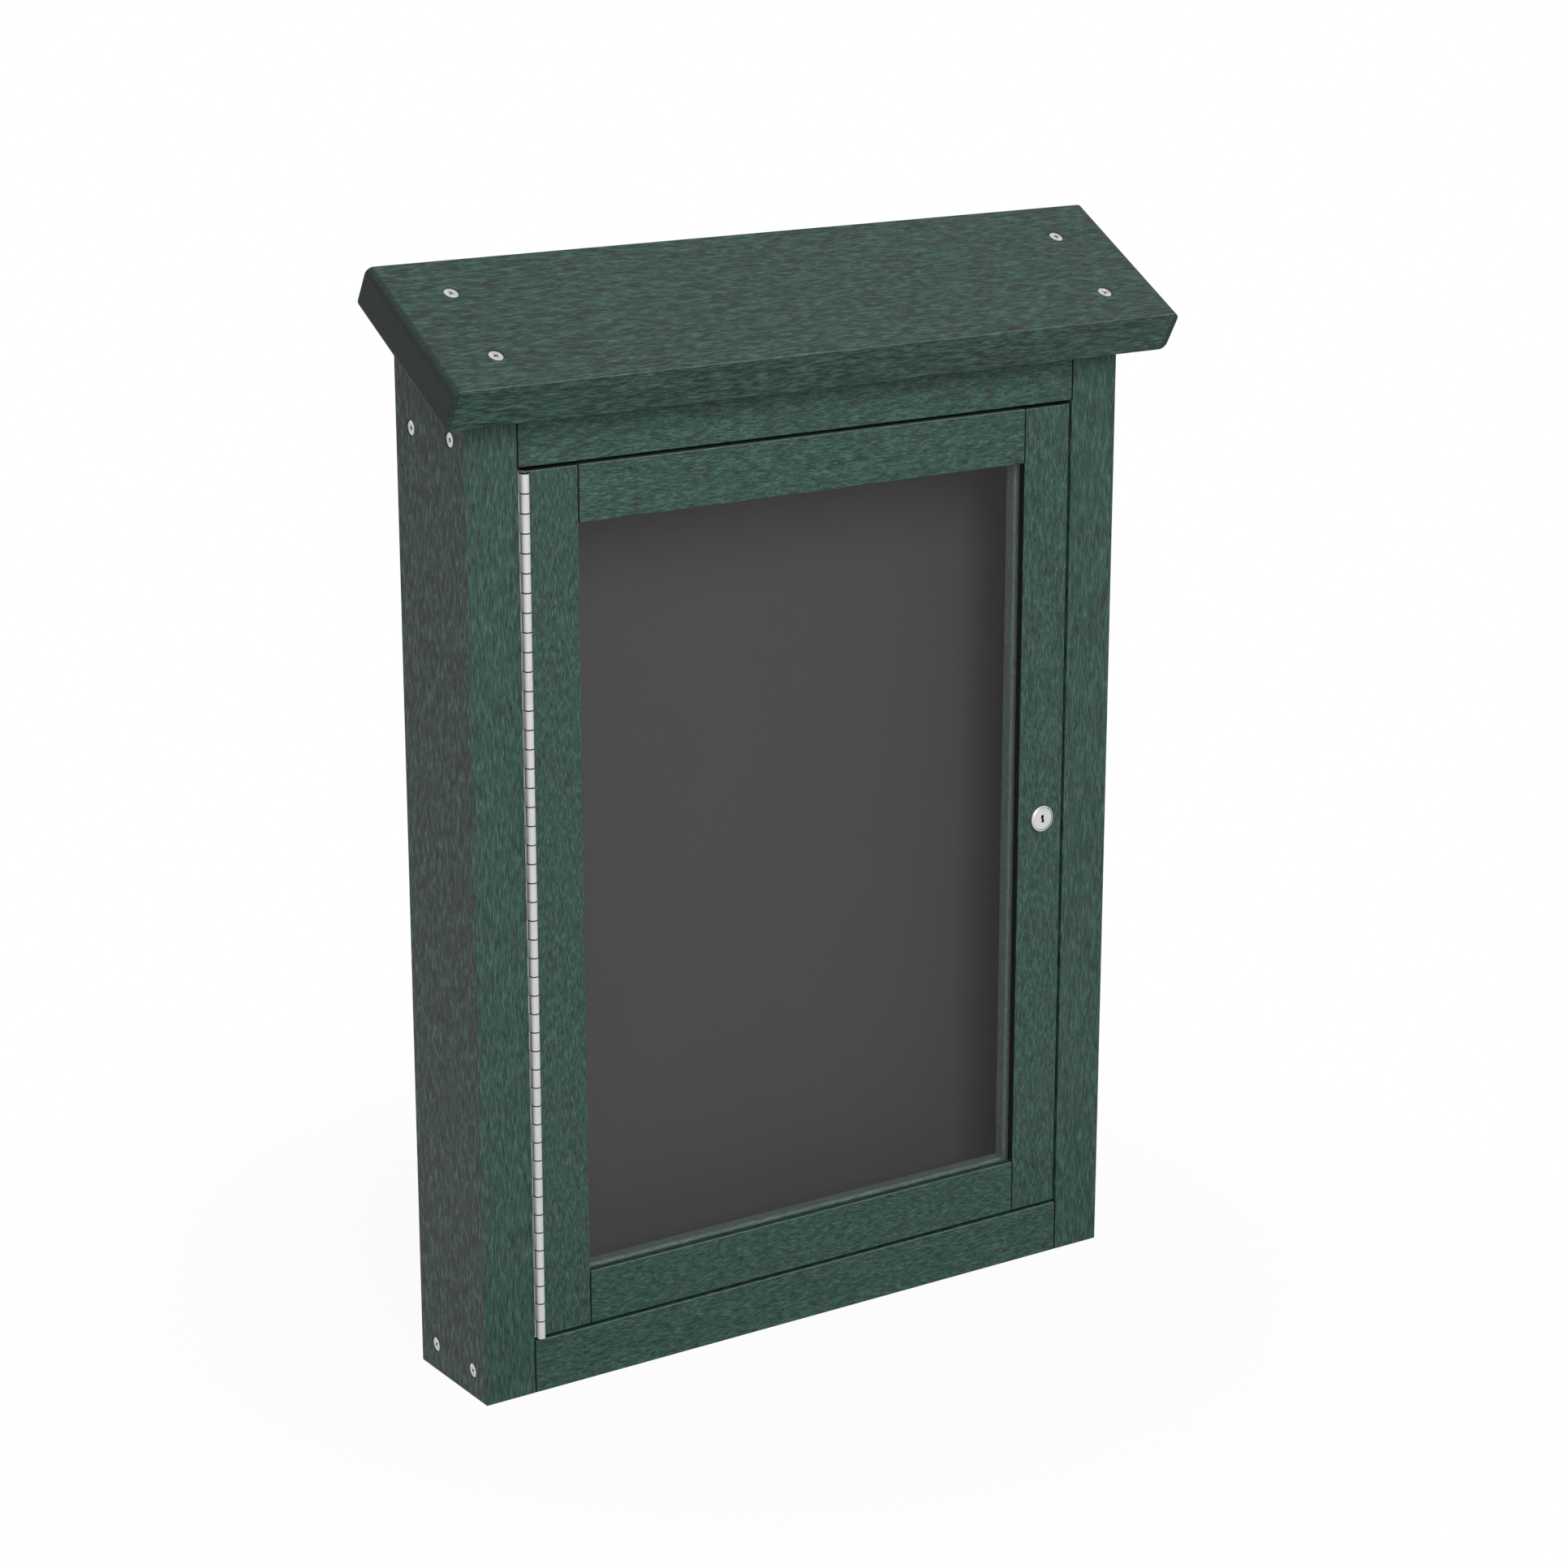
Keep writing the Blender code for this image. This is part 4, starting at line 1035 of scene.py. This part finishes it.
class MESSAGEBOARD_OT_lock(bpy.types.Operator):
    """Builds the cam lock: housing, nut, plug, cam, cam screw and strike"""

    bl_idname = "messageboard.lock"
    bl_label = "Cam lock"

    keyway_width: length("Keyway width", "Of the slot in the face", 2.4 * MM)
    keyway_height: length("Keyway height", "Of the slot in the face", 5.4 * MM)

    def fit(self, name, mesh, look, node):
        """Adds a piece on the lock's axis, its +Z out of the front and z = 0 on the door."""
        plug = middle_of("lock_plug")
        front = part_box("door_right_stile")[0].y
        turn = Matrix.Rotation(math.pi / 2, 4, "X")
        matrix = Matrix.Translation((plug.x, front, plug.z)) @ turn
        add_piece(name, mesh, look, [node], matrix)

    def depths(self, node):
        """How far a node reaches out of the door's front face, and behind it."""
        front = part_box("door_right_stile")[0].y
        low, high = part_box(node)
        return front - low.y, front - high.y

    def housing(self, hardware, look):
        top, back = self.depths("lock_housing")
        bore = hardware.bore_radius
        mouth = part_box("lock_plug")[1].x - middle_of("lock_plug").x + hardware.cap_play
        floor = hardware.cap_back - hardware.cap_play
        flange = hardware.flange_radius
        barrel = hardware.barrel_radius
        ease, seat, chamfer = 0.9 * MM, 0.3 * MM, 0.6 * MM
        thread_start, thread_depth, pitch = -22.4 * MM, 0.7 * MM, 1.1 * MM
        corner = [
            (flange - ease + ease * math.sin(a), top - ease + ease * math.cos(a))
            for a in map(math.radians, range(0, 91, 15))
        ]
        profile = [(bore, floor), (mouth, floor), (mouth, top)] + corner
        profile += [(flange, seat), (barrel, seat), (barrel, thread_start)]
        root = barrel - thread_depth
        z = thread_start
        while z - pitch > back + chamfer:
            profile += [(root, z - pitch * 0.45), (root, z - pitch * 0.55), (barrel, z - pitch)]
            z -= pitch
        profile += [(barrel - chamfer, back), (bore, back)]
        mesh = smooth(turned("flanged_lock_housing", profile, 72), 30)
        self.fit("flanged_lock_housing", mesh, look, "lock_housing")

    def keyway(self, top):
        """The bent slot that a key fits, as a cutter."""
        half = self.keyway_width / 2
        tall = self.keyway_height / 2
        step = half * 0.42
        edges = (
            (-half - step * 0.3, tall, tall * 0.1),
            (-half + step, -tall * 0.12, -tall * 0.55),
            (-half + step * 0.4, -tall * 0.65, -tall),
            (half + step * 0.2, -tall, -tall * 0.3),
            (half - step, -tall * 0.05, tall * 0.5),
            (half - step * 0.1, tall * 0.62, tall),
        )
        outline = [(x, y) for x, *ends in edges for y in ends]
        return slab("keyway", outline, top - 4 * MM, top + 1 * MM)

    def plug(self, hardware):
        top, back = self.depths("lock_plug")
        low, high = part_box("lock_plug")
        cap = (high.x - low.x) / 2
        radius = hardware.bore_radius - hardware.cap_play
        shoulder = self.depths("lock_housing")[1] - 0.3 * MM
        ease = 0.2 * MM
        body = [(0.0, top), (cap - ease, top), (cap, top - ease), (cap, hardware.cap_back)]
        body += [(radius, hardware.cap_back), (radius, shoulder + ease)]
        body += [(radius - ease, shoulder), (0.0, shoulder)]
        mesh = turned("keyed_lock_plug", body, 64)
        tang = slab("tang", square(3.2 * MM), back, shoulder + 3 * MM)
        mesh = combine(mesh, [bevelled(tang, 0.25 * MM)], "UNION")
        wide, start, end = 2.3 * MM, back - 2 * MM, back + 8 * MM
        bore = turned("bore", [(0.0, start), (wide, start), (wide, end), (0.0, end)], 32)
        mesh = smooth(combine(mesh, [self.keyway(top), bore]), 30)
        look = steel_look("plug_steel", hardware.lock_steel, "Z", 0.36, shadow=below_face(top))
        self.fit("keyed_lock_plug", mesh, look, "lock_plug")

    def nut(self, hardware, look):
        top, back = self.depths("lock_nut")
        low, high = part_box("lock_nut")
        inner, across = sorted(((high.x - low.x) / 2, (high.z - low.z) / 2))
        mesh = slab("hex_lock_nut", arc((0.0, 0.0), across, 0, 300, 5), back, top)
        end = [(0.0, 0.0), (inner * 0.98, 0.0), (across * 1.02, -0.7 * MM)]
        crown = mirrored(end, top, back)
        mesh = combine(mesh, [turned("crown", crown, 60)], "INTERSECT")
        radius = hardware.barrel_radius + 0.3 * MM
        mouth = radius + 1.4 * MM
        end = [(0.0, 1 * MM), (mouth, 1 * MM), (radius, -0.4 * MM)]
        hole = mirrored(end, top, back)
        mesh = smooth(combine(mesh, [turned("hole", hole, 60)]), 25)
        self.fit("hex_lock_nut", mesh, look, "lock_nut")

    def cam(self, look):
        top, back = self.depths("lock_cam")
        hub, tip = 7.5 * MM, 5.5 * MM
        drop = 18.5 * MM - tip
        lean = math.degrees(math.asin((hub - tip) / drop))
        outline = arc((0.0, 0.0), hub, -lean, 180 + lean, 28)
        outline += arc((0.0, -drop), tip, 180 + lean, 360 - lean, 20)
        mesh = bevelled(slab("stamped_lock_cam", outline, back, top), 0.25 * MM, 2, 50)
        hole = slab("square", square(3.55 * MM), back - 1 * MM, top + 1 * MM)
        mesh = smooth(combine(mesh, [hole]), 30)
        self.fit("stamped_lock_cam", mesh, look, "lock_cam")

    def cam_screw(self, look):
        node = "lock_cam_screw"
        low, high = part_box(node)
        radius = (high.x - low.x) / 2
        tall, shank = 2.2 * MM, 2.0 * MM
        long = high.y - low.y - tall
        dome = [
            (radius * math.sin(a), tall * (0.35 + 0.65 * math.cos(a)))
            for a in map(math.radians, range(10, 91, 10))
        ]
        profile = [(0.0, tall)] + dome + [(radius * 0.98, 0.0), (shank, 0.0)]
        profile += [(shank, -long + 0.5 * MM), (shank - 0.5 * MM, -long), (0.0, -long)]
        mesh = turned("pan_head_cam_screw", profile, 40)
        recess = cross_recess(radius * 0.5, 1.3 * MM)
        for tool in recess:
            tool.transform(Matrix.Translation((0.0, 0.0, tall)))
        mesh = smooth(combine(mesh, recess), 35)
        matrix = screw_matrix(node, (0, -1, 0), 0.3) @ Matrix.Translation((0.0, 0.0, -tall))
        add_piece("pan_head_cam_screw", mesh, look, [node], matrix)

    def strike(self, hardware, look):
        low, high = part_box("lock_strike")
        thick, outer, inner = 1.6 * MM, 1.68 * MM, 0.4 * MM
        corner = (high.x - thick - inner, low.y + thick + inner)
        outline = [(low.x, low.y), (high.x - outer, low.y)]
        outline += arc((high.x - outer, low.y + outer), outer, -90, 0, 8)[1:]
        outline += [(high.x, high.y), (high.x - thick, high.y), (high.x - thick, corner[1])]
        outline += arc(corner, inner, 0, -90, 5)[1:]
        outline += [(low.x, low.y + thick)]
        mesh = bevelled(slab("bent_lock_strike", outline, low.z, high.z), 0.22 * MM, 2, 50)
        screws = screws_of("lock_strike", 2)
        holes = sheet_holes(screws, (1, 0, 0), hardware.small())
        mesh = smooth(combine(mesh, [holes]), 30)
        add_piece("bent_lock_strike", mesh, look, ["lock_strike"])

    def execute(self, context):
        hardware = context.scene.message_board.hardware
        look = steel_look("lock_steel", hardware.lock_steel, "Z", 0.36)
        self.housing(hardware, look)
        self.plug(hardware)
        self.nut(hardware, look)
        self.cam(look)
        self.cam_screw(look)
        self.strike(hardware, look)
        return {"FINISHED"}


class MESSAGEBOARD_OT_studio(bpy.types.Operator):
    """Lays the floor and sets up the lamp, the world and the camera"""

    bl_idname = "messageboard.studio"
    bl_label = "Studio"

    def floor(self, settings):
        shape = bmesh.new()
        corners = square(settings.floor_size / 2)
        shape.faces.new([shape.verts.new((x, y, CAD_BOX[0].z)) for x, y in corners])
        mesh = mesh_from(shape, "studio_floor")
        look = Look("studio_floor")
        x, y, _ = look.parts(look.place())
        near = 1 - ((x * x + y * y) ** 0.5).step(settings.shadow_reach * 0.4, settings.shadow_reach)
        matt = look.node("ShaderNodeBsdfDiffuse", inputs={"Color": (*settings.floor, 1.0)})
        glow = look.node("ShaderNodeEmission", inputs={"Color": WHITE})
        share = shown_directly(look) * (1 - near * settings.shadow_share)
        shader = look.node("ShaderNodeMixShader", inputs={0: share, 1: matt, 2: glow})
        mesh.materials.append(look.done(shader))
        floor = placed("studio_floor", mesh)

    def key_lamp(self, settings):
        data = bpy.data.lights.new("key_lamp", "AREA")
        data.energy = settings.key_power
        data.size = settings.key_size
        lamp = placed("key_lamp", data)
        lamp.location = KEY_PLACE
        lamp.rotation_euler = (-Vector(KEY_PLACE)).to_track_quat("-Z", "Y").to_euler()

    def world(self, settings):
        look = Look("studio_world", bpy.data.worlds)
        strength = shown_directly(look) * (1 - settings.ambient) + settings.ambient
        shader = look.node("ShaderNodeBackground", inputs={"Color": WHITE, "Strength": strength})
        bpy.context.scene.world = look.done(shader, "ShaderNodeOutputWorld")

    def camera(self, settings):
        data = bpy.data.cameras.new("camera")
        data.lens = settings.lens
        camera = placed("camera", data)
        camera.location = CAMERA_PLACE
        camera.rotation_euler = [math.radians(turn) for turn in CAMERA_TURN]
        bpy.context.scene.camera = camera

    def execute(self, context):
        settings = context.scene.message_board.studio
        self.floor(settings)
        self.key_lamp(settings)
        self.world(settings)
        self.camera(settings)
        context.scene.view_settings.view_transform = "Standard"
        return {"FINISHED"}


class VIEW3D_PT_message_board(bpy.types.Panel):
    """Lists the groups of pieces of the message board"""

    bl_label = "Message Board"
    bl_idname = "VIEW3D_PT_message_board"
    bl_space_type = "VIEW_3D"
    bl_region_type = "UI"
    bl_category = "Message Board"

    def draw(self, context):
        for operator in OPERATORS:
            self.layout.operator(operator.bl_idname)
        board = context.scene.message_board
        for group in (board.lumber, board.hardware, board.window, board.studio):
            box = self.layout.box()
            for name in group.__annotations__:
                box.prop(group, name)


OPERATORS = (
    MESSAGEBOARD_OT_studio,
    MESSAGEBOARD_OT_lumber,
    MESSAGEBOARD_OT_roof,
    MESSAGEBOARD_OT_window,
    MESSAGEBOARD_OT_screws,
    MESSAGEBOARD_OT_hinge,
    MESSAGEBOARD_OT_lock,
)
GROUPS = (LumberSettings, HardwareSettings, WindowSettings, StudioSettings, BoardSettings)
CLASSES = (*GROUPS, *OPERATORS, VIEW3D_PT_message_board)


def register():
    for cls in CLASSES:
        bpy.utils.register_class(cls)
    bpy.types.Scene.message_board = PointerProperty(type=BoardSettings)


def unregister():
    del bpy.types.Scene.message_board
    for cls in reversed(CLASSES):
        bpy.utils.unregister_class(cls)


def main():
    register()
    bpy.ops.messageboard.studio()
    bpy.ops.messageboard.lumber()
    bpy.ops.messageboard.roof()
    bpy.ops.messageboard.window()
    bpy.ops.messageboard.screws()
    bpy.ops.messageboard.hinge()
    bpy.ops.messageboard.lock()


if __name__ == "__main__":
    main()
